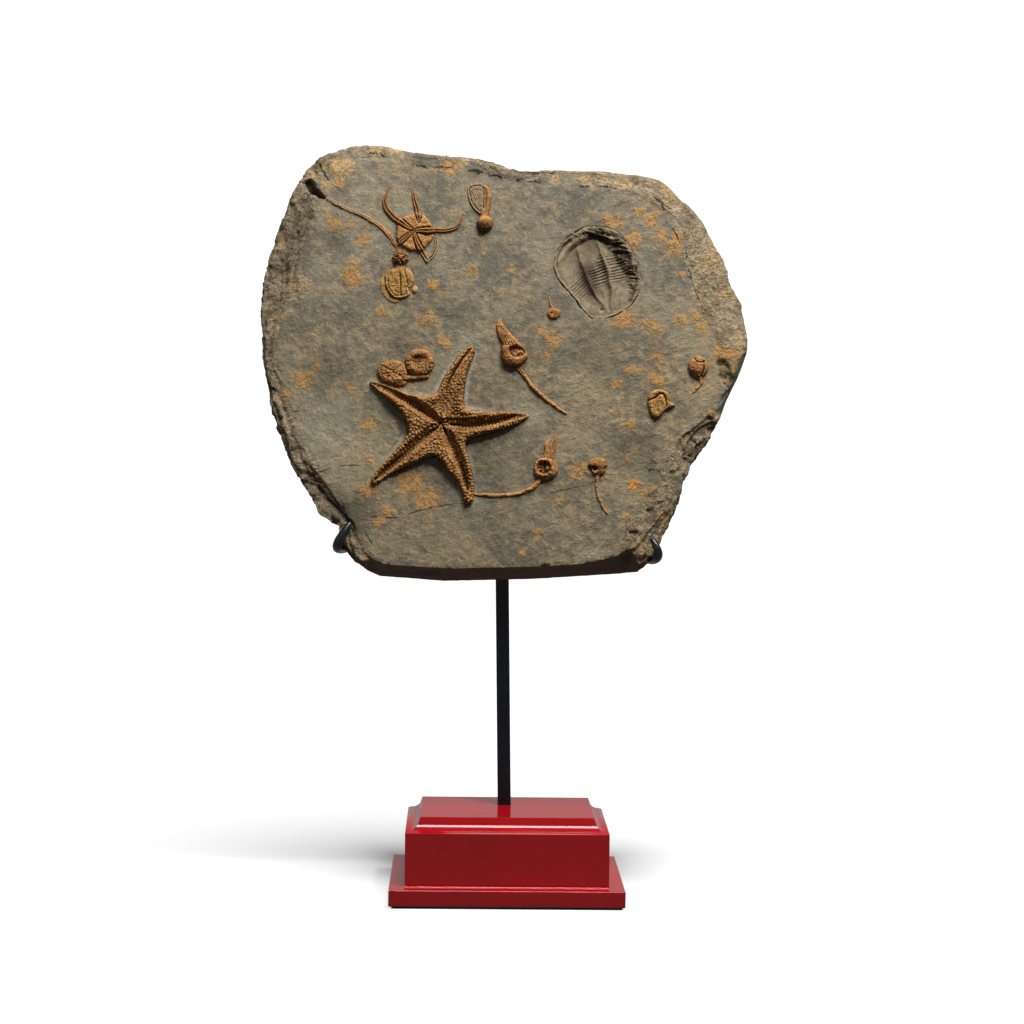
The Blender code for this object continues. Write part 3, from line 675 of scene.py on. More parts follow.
RUST_STAINS = [
    (-53, 169, 3), (-103, 198, 4), (88, 58, 7), (149, 146, 5), (155, 134, 4), (104, 145, 3),
    (131, 195, 3), (38, 45, 2), (77, 106, 3), (29, 215, 3), (97, 21, 4), (153, 149, 5), (-119, 237, 4),
    (-60, 60, 4), (82, 75, 3), (121, 202, 3), (80, 171, 4), (-84, 30, 3),
]  # fmt: skip
# Sheets of tan stone bared round the edges
TAN_PATCHES = [
    (-122, 262, 7), (-132, 268, 6), (-126, 275, 6), (-112, 274, 9), (-90, 286, 8), (-78, 285, 5),
    (-140, 191, 9), (-156, 220, 5), (-74, 286, 5), (-30, 279, 4), (112, 262, 9), (128, 230, 6),
    (140, 214, 10), (150, 190, 8), (134, 186, 8), (56, 266, 6), (68, 267, 6), (80, 265, 5), (34, 267, 5),
    (-156, 110, 6), (-148, 92, 5), (93, 16, 9), (110, 34, 7), (-104, 14, 6), (122, 88, 5), (160, 160, 7),
]  # fmt: skip
# A long pale scratch at the lower right
SCRATCH = [(81, 31), (75, 25), (68, 19.5), (61, 11), (53, 4)]
# The wedge that is missing at the top left
WEDGE = [(-139.5, 263.2), (-134.4, 266.2), (-129.6, 258.4), (-122.6, 251.0), (-129.4, 251.6), (-136.0, 255.4)]
# Where the face's margin is broken furthest in
RAGGED = [
    (104, 48, 12), (97, 30, 12), (84, 14, 9), (66, 6, 7), (-139, 190, 7), (112, 68, 9), (150, 158, 8),
    (128, 222, 8), (-146, 98, 6), (110, 262, 8),
]  # fmt: skip
# Hollows where pieces have come away from the margin: outline, depth at its first point, how fast it dies out
SCOOPS = [
    (
        [
            (114.5, 79), (120, 91.5), (128, 96), (138, 106), (146, 100), (141, 84), (131, 70), (120, 62),
            (113, 69),
        ],
        1.7,
        (0.04, -0.02),
    ),
    ([(83, 25.5), (87.5, 27), (92, 24.5), (94.5, 21), (88, 20.5)], 2.6, (0.1, 0)),
    ([(96, 40), (104, 46), (110, 48), (106, 40), (99, 35)], 1.6, (0.1, 0)),
]  # fmt: skip
# Small bulges and notches of the outline: place, reach, and how far it moves
NUDGES = [
    (-123, 37, 5, -2.0, -1.4), (-113.5, 27, 4, 1.8, 1.2), (122, 68, 4, 1.6, -0.8),
    (114, 60, 4, -1.8, 0.4), (-152, 88, 4, 1.2, 0.4), (-150, 94, 3, -1.2, 0),
]  # fmt: skip
# A rusty nook in the right margin
NOOK = [(143, 141), (148, 146), (152, 141), (156, 131), (152, 123), (147, 127)]
# Edge of the lower ledge at the lower left
STEP = [
    (-137, 60.5), (-130, 57.6), (-123.9, 55.3), (-117.7, 46.5), (-110.8, 39.2), (-102.6, 29.8), (-99.5, 24.0),
]  # fmt: skip
# Broad darker places: darker stone on the face, and painted shade along the broken margins
DARKER = [
    (-121, 133, 16), (87, 80, 18), (-13, 64, 20), (-70, 150, 14), (-105, 36, 16), (60, 150, 22),
    (-145, 230, 20), (-117, 224, 10), (-152, 205, 13), (-158, 178, 8), (-160, 150, 7), (-150, 78, 8),
    (-125, 33, 9), (-62, 279, 7), (-22, 274, 8), (-8, 272, 8), (8, 270, 8), (-108, 12, 8), (106, 36, 8),
    (128, 78, 9), (136, 250, 7), (84, 14, 6),
]  # fmt: skip
# Cracks: points and how wide each gapes
CRACKS = [
    ([(-136, 59), (-125, 63), (-117, 66), (-107, 68), (-95, 68)], 0.5),
    ([(-91, 33), (-72, 33), (-60, 37), (-44, 41), (-28, 43), (-24, 43)], 0.5),
    ([(26, 52), (32, 51), (44, 54), (58, 57), (67, 63), (83, 64)], 0.3),
    ([(92, 68), (97, 67), (104, 68), (111, 66), (120, 69)], 1.5),
    ([(98, 74), (106, 71), (113, 68)], 0.9),
    ([(-86, 77), (-79, 74)], 0.8),
    ([(-145, 105), (-139, 104)], 0.6),
    ([(-129, 104), (-123, 104)], 0.6),
    ([(-97, 26), (-92, 20), (-88, 13)], 0.6),
    ([(-129, 281), (-127.5, 274), (-124, 267), (-121, 262)], 1.1),
    ([(99, 257), (110, 249), (118, 243)], 1.0),
    ([(121, 231), (124, 211), (128, 194)], 0.6),
    ([(128, 194), (133, 182), (138, 174)], 0.6),
    ([(103, 253), (109, 245), (114, 240)], 0.9),
    ([(108, 240), (116, 230), (119, 222)], 0.7),
    ([(-30, 274), (-22, 271.5), (-13.5, 270), (-4, 268), (7, 266.5), (25, 264.5)], 1.3),
    ([(48, 261.5), (58, 262.5), (67, 262.5), (75, 261), (84, 260.5)], 1.1),
    ([(-101, 282.5), (-94, 284), (-84, 282.5), (-74, 280.5)], 1.0),
    ([(-66, 276), (-54, 274), (-45, 274.5), (-36, 273.5)], 0.9),
]
# Where the solid's margin is made less deep: middle, half size, depth of the new floor, and where across the
# slab it starts to fall and where it reaches that depth
PITS = [
    ((-136, 253), (11, 14), -3.0, -128, -143),
    ((-150, 194), (14, 14), -4.4, -138, -156),
    ((127, 84), (13, 17), -2.8, 100, 110),
]
# How the bevel under the face is made steeper or shallower: its levels, and where they come to lie
BEVEL_TOP = -0.3
STEEP_BOTTOM = ((-20.5, -16, -4.8, -2.8, BEVEL_TOP), (-20.5, -17.5, -11.8, -4.5, BEVEL_TOP))
STEEP_RIGHT = ((-13, -7.5, -4.4, -2.6, BEVEL_TOP), (-13, -11.5, -6.2, -1.8, BEVEL_TOP))
SHALLOW = ((-13, -11.2, -8.5, -5.2, -3.3, BEVEL_TOP), (-13, -9.0, -5.6, -2.6, -1.3, BEVEL_TOP))
SHALLOW_TOP = ((-13, -11.2, -8.5, -5.2, BEVEL_TOP), (-13, -7.5, -2.2, -0.6, BEVEL_TOP))
# Height of the ledges on the broken edges, and of the layers between the seams
LEDGE_TREAD, SEAM_PITCH = 2.1, 2.4
STAR_MIDDLE = (-43.4, 97.0)
TRILOBITE_EDGE = [
    (38, 222.5), (49, 231), (56, 234), (63, 234), (74, 231), (82, 224), (88, 211), (91, 199), (89, 186),
    (82, 178), (71, 172), (59, 171.5), (53, 176), (47, 185), (40, 192), (34.5, 200), (32.5, 209),
]  # fmt: skip


def face_height(x, y):
    """How far the bedding face stands out at each place: gentle swells, thin flaked layers and small pits."""
    up = 0.55 * rough(x, y, 80, 3) + 0.22 * rough(x, y, 21, 8) + 0.10 * rough(x, y, 6, 14)
    layers = 2.6 * rough(x, y, 64, 21) + 0.22 * rough(x, y, 9, 25)
    up += 0.32 * (np.floor(layers) + ease(0.40, 0.60, layers - np.floor(layers)) - layers * 0.55)
    # the stone is scooped away round the starfish, left of it and near the top
    round_star = np.hypot(x - STAR_MIDDLE[0], y - STAR_MIDDLE[1])
    up -= 0.7 * np.exp(-((round_star / 46) ** 4))
    up -= 1.1 * np.exp(-(((x + 118) / 26) ** 2) - ((y - 92) / 24) ** 2)
    up -= 0.8 * np.exp(-(((x - 5) / 30) ** 2) - ((y - 232) / 22) ** 2)
    pits = grains(x, y, 7.5, 31)
    up -= 0.5 * np.clip(1 - pits[0] / 0.16, 0, 1) * (pits[2] > 0.55)
    return up


def chipped(points, size, seed):
    """How far a surface of broken facets stands out: each cell of it is a plane with its own tilt."""
    out = np.empty(len(points))
    shift = Vector((seed, 2.3 * seed, 3.1 * seed))
    for i, point in enumerate(points):
        spot = Vector(point) / size + shift
        cell = noise.voronoi(spot)[1][0]
        tilt = noise.cell_vector(cell * 3.7) - Vector((0.5, 0.5, 0.5))
        out[i] = 2 * (spot - cell).dot(tilt)
    return out


def sharp_points(piece, angle=32, step=0.4):
    """Points along a piece's sharp edges."""
    data = bmesh.new()
    data.from_mesh(piece.data)
    points = []
    for edge in data.edges:
        if len(edge.link_faces) == 2 and edge.calc_face_angle() > math.radians(angle):
            a, b = (vertex.co for vertex in edge.verts)
            count = max(1, int((b - a).length / step))
            points += [a.lerp(b, k / count) for k in range(count + 1)]
    data.free()
    return points


def tree_of(points):
    """A search tree that finds the nearest of these points."""
    tree = kdtree.KDTree(len(points))
    for index, point in enumerate(points):
        tree.insert(point, index)
    tree.balance()
    return tree


def stain_level(x, y, stains, seed):
    """How strongly each place is stained, from 0 to 1, with wandering edges."""
    sx = x + 2.6 * rough(x, y, 8, seed)
    sy = y + 2.6 * rough(x, y, 8, seed + 9)
    level = np.zeros(x.shape)
    for number, (u, v, radius) in enumerate(stains):
        away = np.hypot(sx - u, 1.12 * (sy - v)) / radius
        level = np.maximum(level, ease(1.6, 0.2, away) * (0.6 + 0.4 * chance(number, 0, seed)))
    return level


def solid_slab():
    """A merged copy of the slab's solid, in millimetres in the slab's own frame."""
    only(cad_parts["stone_slab"])
    bpy.ops.object.duplicate()
    solid = bpy.context.object
    solid.parent = None
    solid.matrix_world = Matrix.Identity(4)
    solid.data.transform(Matrix.Scale(1 / MM, 4) @ SLAB.inverted())
    bpy.ops.object.mode_set(mode="EDIT")
    bpy.ops.mesh.select_mode(type="VERT")
    bpy.ops.mesh.select_all(action="SELECT")
    bpy.ops.mesh.remove_doubles(threshold=0.001)
    bpy.ops.object.mode_set(mode="OBJECT")
    return solid


def fine_slab():
    """The slab in an even mesh, twice as fine in front as at the back, with the solid's sharp edges kept."""
    solid = solid_slab()
    bpy.ops.object.duplicate()
    piece = bpy.context.object
    modified(piece, "REMESH", mode="VOXEL", voxel_size=2.4)
    choose(piece, points_of(piece)[:, 2] > -SLAB_THICK + 2.4)
    bpy.ops.mesh.subdivide(number_cuts=1)
    bpy.ops.object.mode_set(mode="OBJECT")
    modified(piece, "SHRINKWRAP", target=solid)
    edges = tree_of(sharp_points(solid))
    points = points_of(piece)
    for point in points:
        spot, _, away = edges.find(point)
        if away < 0.85:
            point[:] = spot
    move_points(piece, points)
    bpy.data.objects.remove(solid)
    return piece, points


class Slab:
    """The slab while it is shaped: its points, and what the steps of shaping know about each of them. x and y
    stay where the points began, and z is the depth when stock was last taken."""

    def __init__(self, piece, points):
        self.piece = piece
        self.points = points
        self.x, self.y, self.z = points.T.copy()
        angle = np.degrees(np.arctan2(self.y - 140, self.x))
        # along the bottom and the lower right the stone is cut off steeply
        self.bottom = ease(-125, -121.5, angle) * ease(-55, -58, angle)
        self.right = ease(10, 7, np.abs(angle + 5))
        self.steep = np.maximum(self.bottom, self.right)
        self.top = ease(126, 118, angle) * ease(60, 68, angle)
        # how far each point lies inside the trilobite's hollow, and how calm the stone is at the upper right
        self.pocket = inside(self.x, self.y, TRILOBITE_EDGE)
        self.quiet = 0.5 * ease(0, 40, self.x) * ease(120, 150, self.y)

    def move_bevel(self, lowest, levels, share):
        """Brings the bevel, down to its lowest level, to new levels by the share."""
        within = (self.z < BEVEL_TOP) & (self.z > lowest)
        self.points[:, 2] = mix(self.points[:, 2], levels, share * within)

    def cut_bevel(self):
        """Makes the bevel deeper where the stone is cut off steeply, and shallower everywhere else."""
        self.move_bevel(STEEP_BOTTOM[0][0], np.interp(self.z, *STEEP_BOTTOM), self.bottom)
        self.move_bevel(STEEP_RIGHT[0][0], np.interp(self.z, *STEEP_RIGHT), self.right)
        shallow = mix(np.interp(self.z, *SHALLOW), np.interp(self.z, *SHALLOW_TOP), self.top)
        self.move_bevel(SHALLOW[0][0], shallow, (1 - self.steep) * (self.pocket < -2))

    def fill_pits(self):
        """Gives each rough pit a higher, sloping floor."""
        for middle, half, level, inner, outer in PITS:
            out = dome(self.x, self.y, middle, half, 1.0)[1]
            floor = level * ease(inner, outer, self.x) - 0.1
            filled = np.maximum(self.points[:, 2], floor)
            self.points[:, 2] = mix(self.points[:, 2], filled, ease(1.25, 1.0, out) * (self.z > -12))

    def soften_bevel(self):
        move_points(self.piece, self.points)
        deep = self.points[:, 2]
        choose(self.piece, (deep > -10.5) & (deep < 0.4) & (self.pocket < -2) & (self.steep < 0.2))
        bpy.ops.mesh.vertices_smooth(factor=0.5, repeat=9)
        bpy.ops.object.mode_set(mode="OBJECT")
        self.points = points_of(self.piece)

    def carve(self):
        """Takes out the wedge, the scooped hollows and the nook, and makes the outline's bulges."""
        x, y = self.x, self.y
        front = self.z > -10
        self.wedge = ease(-0.4, 1.4, inside(x, y, WEDGE))
        self.points[:, 2] -= 5.0 * self.wedge * front
        for outline, depth, dip in SCOOPS:
            within = inside(x + 0.8 * rough(x, y, 5, 87), y + 0.8 * rough(x, y, 5, 88), outline)
            tilt = (x - outline[0][0]) * dip[0] + (y - outline[0][1]) * dip[1]
            self.points[:, 2] -= ease(-0.3, 1.6, within) * np.clip(depth - tilt, 0, None) * front
        within = inside(x + rough(x, y, 4, 89), y + rough(x, y, 4, 90), NOOK)
        self.nook = ease(-0.4, 1.4, within) * front
        self.points[:, 2] -= self.nook * np.clip(1.3 + 3.0 * rough(x, y, 4.5, 91), 0.2, 3)
        for u, v, reach, aside, upwards in NUDGES:
            share = np.exp(-((x - u) ** 2 + (y - v) ** 2) / reach**2)
            self.points[:, 0] += aside * share
            self.points[:, 1] += upwards * share

    def step_down(self):
        """Steps the lower left down to a lower ledge, with a painted shadow along its edge."""
        x, y, z = self.x, self.y, self.z
        away, side, run, _ = near(x, y, STEP)
        over = np.where(side < 0, away, -away) + 0.6 * rough(x, y, 6, 81)
        stepped = ease(0, 8, run) * (run < 52) * ease(16, 13, away) * (z > -11.5) * (z < 0.5)
        tread = -2.4 * ease(0.0, 1.0, over) - 0.5 * ease(6, 9, over)
        self.points[:, 2] = mix(self.points[:, 2], tread, stepped * (over > 0))
        # the ledge's edge is not cut under; the shadow below it is painted
        self.painted_ledge_shadow = 1.7 * stepped * np.exp(-(((over - 1.2) / 1.4) ** 2))

    def take_stock(self):
        """Reads the shape so far: its depth and the way that each point faces."""
        move_points(self.piece, self.points)
        normals = np.empty(3 * len(self.points))
        self.piece.data.vertices.foreach_get("normal", normals)
        self.normals = normals.reshape(-1, 3)
        self.z = self.points[:, 2].copy()

    def fray_margin(self):
        """Finds how far the face is flaked away from its edge inwards, raggedly."""
        x, y, z = self.x, self.y, self.z
        stone = self.pocket < -2
        edge = tree_of(self.points[(z < -0.7) & (z > -1.7) & stone])
        rim = np.full(len(z), 99.0)
        for index in np.flatnonzero((z > -0.75) & stone):
            rim[index] = edge.find(self.points[index])[2]
        reach = 1.0 + 7.0 * np.clip(rough(x, y, 15, 83) + 0.15, 0, 1)
        for u, v, radius in RAGGED:
            reach = np.maximum(reach, 22 * np.exp(-(np.hypot(x - u, y - v) / radius) ** 2))
        flaked = ease(reach, 0.4 * reach, rim + 1.6 * rough(x, y, 5, 85))
        self.fringe = flaked * (1 - self.bottom) * (rim < 50)

    def swell_face(self):
        """Makes the bedding face gently uneven, less so round the trilobite's hollow."""
        self.front = ease(-1.6, -0.2, self.z) * ease(0.5, 0.9, self.normals[:, 2])
        around = ease(0, 6, -self.pocket)
        swells = face_height(self.x, self.y) * np.where(self.pocket > 0, 0, 0.4 + 0.6 * around)
        self.points[:, 2] += self.front * swells

    def find_breaks(self):
        """Finds how broken the edges are, and how their ledges and grit stand out."""
        x, y, z = self.x, self.y, self.z
        broken = np.maximum(ease(-0.25, -1.2, z), 0.9 * self.fringe) * (self.pocket < -1.5) * (1 - self.steep)
        smoother = ease(258, 264, y) * ease(-14, -30, x) * ease(-126, -116, x) * ease(-4.5, -2.5, z)
        self.broken = broken * (1 - 0.75 * smoother)
        level = (z + 1.5 * rough(x, y, 24, 43) + 0.5 * rough(x, y, 6, 47)) / LEDGE_TREAD
        share = level - np.floor(level)
        self.ledges = (ease(0.45, 0.95, share) - share) * LEDGE_TREAD
        ridges = 0.5 - np.abs(rough(x + 0.5 * z, y - 0.6 * z, 5.0, 53))
        grit = 1.3 * chipped(self.points, 8.0, 1.0) + 0.7 * ridges
        grit = grit + 0.25 * rough(x - z, y + z, 2.6, 57, 2) + 0.3 * (knobs(x, y - z, 4.4, 58) - 0.5)
        self.grit = grit * np.maximum(ease(-0.5, -2.2, z), 0.55 * self.fringe) * (1 - self.quiet)

    def break_edges(self):
        """Breaks the edges in ledges and grit, with thin seams round the sides and rough steep cuts."""
        x, y, z = self.x, self.y, self.z
        self.points[:, 2] -= 0.5 * self.fringe * (1 - self.steep)
        self.points += self.normals * (self.broken * self.grit)[:, None]
        facing = ease(0.25, 0.6, self.normals[:, 2])
        self.points[:, 2] += self.broken * facing * self.ledges * (1 - self.quiet)
        thin = np.abs(((z + 0.8 * rough(x, y, 40, 41)) / SEAM_PITCH) % 1.0 - 0.5)
        seams = ease(0.6, 0.3, np.abs(self.normals[:, 2])) * ease(-2, -3.5, z) * ease(0.14, 0.0, thin)
        self.points -= self.normals * ((0.15 + 0.5 * self.broken) * seams)[:, None]
        cuts = self.steep * ease(-0.4, -2, z) * 0.25 * rough(x, z * 3, 6, 59)
        self.points += self.normals * cuts[:, None]
        move_points(self.piece, self.points)

    def keep_stains(self):
        """Keeps the rust stains, the bared tan sheets and the darker places, partly painted shade, for the
        finish.
        """
        x, y = self.x, self.y
        facing = ease(-14, -9, self.z)
        ochre = stain_level(x, y, OCHRE_STAINS, 301) * facing
        store(self.piece, "ochre", np.maximum(ochre, 0.55 * self.nook))
        store(self.piece, "rust", stain_level(x, y, RUST_STAINS, 311) * facing)
        store(self.piece, "tan", stain_level(x, y, TAN_PATCHES, 321) * facing)
        # the darker places are darker stone on the face, and painted shade in the nook and along the margins
        dark_tone_and_shade = self.nook
        for u, v, radius in DARKER:
            dark_tone_and_shade = np.maximum(dark_tone_and_shade, np.exp(-(np.hypot(x - u, y - v) / radius) ** 2))
        store(self.piece, "dark_tone_and_shade", dark_tone_and_shade)

    def keep_cracks(self):
        """Keeps the distance from the nearest crack, signed by its side, and where the crack shows."""
        crack, shown = np.full(len(self.x), 9.0), np.zeros(len(self.x))
        for line, width in CRACKS:
            away, side, run, _ = near(self.x, self.y, smooth_path(line, 3.0))
            length = run.max()
            nearest = (away < np.abs(crack)) & (away < 6)
            on = ease(0, 4, run) * ease(length, length - 4, run)
            crack = np.where(nearest, away * np.where(side < 0, -1, 1) / (width / 0.5), crack)
            shown = np.where(nearest, on * ease(4, 2.5, away), shown)
        store(self.piece, "crack", crack)
        store(self.piece, "crack_on", shown * ease(-14, -9, self.z))

    def keep_breaks(self):
        """Keeps where the stone is broken, where it is cut in layers, and how much painted shade its crevices
        get.
        """
        z = self.z
        cut = self.steep * ease(-23.5, -21.5, z)
        store(self.piece, "broken", np.maximum(self.broken, ease(-1.5, -3.0, z)) * (1 - cut))
        store(self.piece, "sawn", cut * ease(-0.2, -0.7, z) * (1 - self.nook))
        # painted shade and grime in the low places between the grit and the ledges
        hollow = np.clip(-self.grit - 0.8 * self.ledges - 0.35, 0, 2)
        hollow = 0.55 * self.broken * (1 - self.quiet) * hollow
        # painted shade in the nook, and the painted shadows under the lower ledge's edge and in the wedge
        nook = 0.8 * self.nook * ease(0.3, -0.1, rough(self.x, self.y, 4.5, 91))
        store(self.piece, "crevice_grime_and_shade", np.clip(hollow + self.painted_ledge_shadow + 1.2 * self.wedge + nook, 0, 2))

    def keep_pale_places(self):
        """Keeps the halo round the starfish, the places brushed clean, the scratch and the streaks."""
        x, y = self.x, self.y
        outside = round_star_distance(x, y)
        halo = ease(3.0, 0.8, outside) * ease(-0.5, 0.3, rough(x, y, 14, 51))
        cleaned = 0.45 * np.exp(-((outside / 12) ** 2)) * ease(-0.2, 0.6, rough(x, y, 26, 55))
        cleaned = cleaned + 0.5 * np.exp(-(((x + 122) / 22) ** 2) - ((y - 92) / 26) ** 2)
        scratch = np.exp(-((near(x, y, SCRATCH)[0] / 0.7) ** 2)) * (0.7 + 0.5 * rough(x, y, 5, 61))
        store(self.piece, "pale", np.clip(np.maximum(halo, cleaned) + scratch, 0, 1.2) * self.front)
        right = 0.2 + 0.8 * ease(0, 50, x) * ease(190, 130, y)
        left = 0.15 + 0.7 * ease(-30, -90, x) * ease(-0.6, 0.4, rough(x, y, 40, 71))
        store(self.piece, "streaked", self.front * right)
        store(self.piece, "streaked_left", self.front * left)


def slab_stone():
    """The slab: an even fine mesh of the solid, with broken ledges round it and a gently uneven face."""
    slab = Slab(*fine_slab())
    slab.cut_bevel()
    slab.fill_pits()
    slab.soften_bevel()
    slab.carve()
    slab.step_down()
    slab.take_stock()
    slab.fray_margin()
    slab.swell_face()
    slab.find_breaks()
    slab.break_edges()
    slab.keep_stains()
    slab.keep_cracks()
    slab.keep_breaks()
    slab.keep_pale_places()
    piece = slab.piece
    only(piece)
    bpy.ops.object.shade_smooth_by_angle(angle=math.radians(50))
    piece.data.transform(SLAB @ Matrix.Scale(MM, 4))
    return finished(piece, "mudstone_slab", mudstone(), "mudstone", "stone_slab")


# The starfish

STAR_OUTLINE = [
    (-91.6, 125.3), (-90, 126.1), (-79.1, 122.7), (-63.5, 117.3), (-48, 117.5), (-41.1, 130.2),
    (-32.7, 142.9), (-24, 151), (-21.6, 150), (-21.4, 143.8), (-26.3, 129.6), (-27, 109.1),
    (-12.9, 106.1), (2.7, 106.3), (16.3, 103.3), (6.6, 96.2), (-8.9, 91.3), (-25.5, 84.9), (-23.4, 71.6),
    (-20.4, 58.4), (-20.6, 47), (-22.4, 43), (-26.2, 43.8), (-28.4, 49.5), (-31.4, 56.5), (-38.8, 65.2),
    (-47.5, 74.4), (-60.6, 69.6), (-74.4, 63.2), (-87, 55.2), (-90.6, 57.6), (-86.1, 65.4), (-75.4, 77.3),
    (-66, 90.7), (-70, 103.1), (-80.5, 113.2), (-91, 122.4),
]  # fmt: skip
# Each arm's groove from its tip to the middle: x, y and half width
STAR_GROOVES = [
    [
        (-89.4, 124.0, 0.8), (-83, 121.3, 1.5), (-75.1, 117.6, 2.0), (-61, 109.6, 2.4), (-52, 103.6, 1.8),
        (-45, 98.2, 0.8),
    ],
    [
        (-23.6, 148.6, 0.3), (-27.8, 143.4, 0.45), (-32.0, 137.0, 0.5), (-37.4, 127.4, 0.45),
        (-40.6, 117, 0.3), (-42.6, 104, 0.25),
    ],
    [
        (14.6, 103.6, 0.7), (6, 102.4, 1.2), (-4, 99.6, 1.7), (-16, 97.2, 1.7), (-27, 96.2, 1.0),
        (-39, 96.8, 0.6),
    ],
    [
        (-24.6, 52.0, 0.6), (-26.4, 58.0, 1.1), (-29, 67, 1.3), (-33.5, 77.6, 1.4), (-38.4, 88.0, 1.0),
        (-42, 94.6, 0.7),
    ],
    [
        (-87.2, 58.6, 0.7), (-80, 65.2, 1.2), (-71.6, 72.0, 1.5), (-60, 82.6, 1.3), (-51, 90.4, 1.0),
        (-45.6, 95.2, 0.7),
    ],
]  # fmt: skip
UPPER_LEFT, TOP, RIGHT, BOTTOM, LOWER_LEFT = range(5)
STAR_TALL = 6.4


def round_star_distance(x, y):
    """Distance outside the starfish's outline."""
    return np.clip(-inside(x, y, STAR_OUTLINE), 0, None)


def nearest_arm(x, y):
    """The arm whose groove is nearest to each point, the groove's half width there, how far off the point is,
    on which side, and how far along from the tip, in millimetres and as a share of the arm."""
    away = np.full(x.shape, 1e9)
    number, half, side, run, length = (np.zeros(x.shape) for _ in range(5))
    for arm, knots in enumerate(STAR_GROOVES):
        path = smooth_path(knots)
        whole = np.hypot(*np.diff(path[:, :2], axis=0).T).sum()
        this, this_side, this_run, (this_half,) = near(x, y, path)
        nearer = this < away
        away = np.where(nearer, this, away)
        side = np.where(nearer, this_side, side)
        run = np.where(nearer, this_run, run)
        half = np.where(nearer, this_half, half)
        number = np.where(nearer, arm, number)
        length = np.where(nearer, whole, length)
    return SimpleNamespace(number=number, half=half, away=away, side=side, run=run, share=run / length)


def star_body(x, y, arm, inner):
    """The margins swell up, and each arm falls from its ridges into a valley."""
    top = arm.number == TOP
    body = STAR_TALL * round_over(inner, 2.6) * (0.62 + 0.30 * ease(0, 0.45, arm.share))
    wide = np.where(top, 2.4, 3.4) + 1.9 * ease(0.2, 0.6, arm.share) + 0.4 * swell(x, y, 7, 60)
    valley = 1 - ease(0.0, 1.0, arm.away / wide)
    deep = np.where(top, 0.40, 0.80) * ease(0.0, 0.10, arm.share)
    deep = deep * (0.45 + 0.55 * ease(1.02, 0.75, arm.share))
    body *= 1 - deep * valley
    inwards = ease(0.55, 0.8, arm.share)
    lip = ease(1.0, 3.0, inner) * ease(7.5, 3.6, inner) * inwards
    return body + 0.7 * lip - 0.5 * ease(5, 9, inner) * inwards + 0.30 * rough(x, y, 8, 61)


def star_lumps(x, y, arm, across, coarse, grain):
    """Short plates in rows beside each groove, across the arm, and lumps in the fields between the arms."""
    top = arm.number == TOP
    pitch = np.where(arm.number == LOWER_LEFT, 2.5, np.where(arm.number == RIGHT, 2.2, 2.05))
    along = arm.run / pitch + 0.3 * swell(x, y, 3.0, 77)
    plates = knobs(along, arm.side * arm.away / 3.1 + 5 * arm.number, 1.0, 79, 0.6)
    rows = np.where(top, 0.45, 1.0) * ease(0.02, 0.12, arm.share)
    rows = rows * ease(arm.half + 8.0, arm.half + 5.0, arm.away)
    below = ((arm.number == BOTTOM) & (arm.side > 0)) | ((arm.number == LOWER_LEFT) & (arm.side < 0))
    granular = ((arm.number == UPPER_LEFT) | below) * 0.4
    lumps = mix(1.5 * grain, 2.1 * coarse, np.where(top, 0.9, ease(0.25, 0.45, across)))
    return mix(lumps, 1.9 * plates, rows * (1 - granular)) + 0.35 * knobs(x, y, 1.1, 75)


def star_grooves(up, arm):
    """Cuts a dark groove along each arm, with bars across its floor."""
    shallow = 0.6 * ease(0.8, 0.5, arm.share)
    cut = (1 - ease(0.5 * arm.half, arm.half + 0.5, arm.away)) * np.where(arm.number == TOP, shallow, 1.0)
    floor = 0.35 + 0.6 * np.abs(np.cos(np.pi * arm.run / 2.3)) ** 2
    return mix(up, np.minimum(up, floor), cut * ease(1.0, 0.93, arm.share))


def starfish_shape(x, y):
    """Five arms, each a valley between two ridges, with rows of ridged plates and small grains elsewhere."""
    inner = inside(x, y, loop_path(STAR_OUTLINE))
    arm = nearest_arm(x, y)
    across = arm.away / (arm.away + np.clip(inner, 0.05, None))
    inner = inner + 0.8 * (knobs(x, y, 2.2, 67) - 0.5) * ease(2.5, 0.5, np.abs(inner))
    bent = wobbled(x, y, 65, 0.5, 2.6)
    coarse, grain = knobs(*bent, 2.5, 71), knobs(*bent, 1.9, 73)
    lumps = star_lumps(x, y, arm, across, coarse, grain)
    seam = 0.6 * np.exp(-(((arm.away - arm.half - 2.8) / 0.5) ** 2)) * (arm.number == RIGHT)
    up = star_body(x, y, arm, inner) - 1.5 + lumps * ease(-0.3, 0.9, inner) - seam
    up = star_grooves(up, arm)
    # the mouth, with the arms' ridges meeting round it
    middle = np.hypot(x - STAR_MIDDLE[0], y - STAR_MIDDLE[1])
    angle = np.arctan2(y - STAR_MIDDLE[1], x - STAR_MIDDLE[0])
    up += 0.7 * ease(8, 5, middle) * np.cos(10 * angle + 0.4) - 2.6 * np.exp(-((middle / 1.5) ** 2))
    # the swollen tip of the bottom arm
    knob, out = dome(x, y, (-24.2, 47.4), (3.9, 5.4), 4.6)
    up = np.where(out < 1, np.maximum(up, knob - 1.3 + 1.9 * coarse), up)
    up = np.where(inner > 0, np.maximum(up, 0.2), np.where(out < 1, up, -9))
    up = np.where((inner < 0) & (out >= 1), -5.0 * np.minimum(-inner, (out - 1) * 4.5), up)
    return up, 0.35 * ease(0.3, -0.4, rough(x, y, 12, 83))


# The other fossils

BRITTLE_MIDDLE, BRITTLE_RADIUS = (-62.7, 228.6), 12.9
PALE_ARM = 4
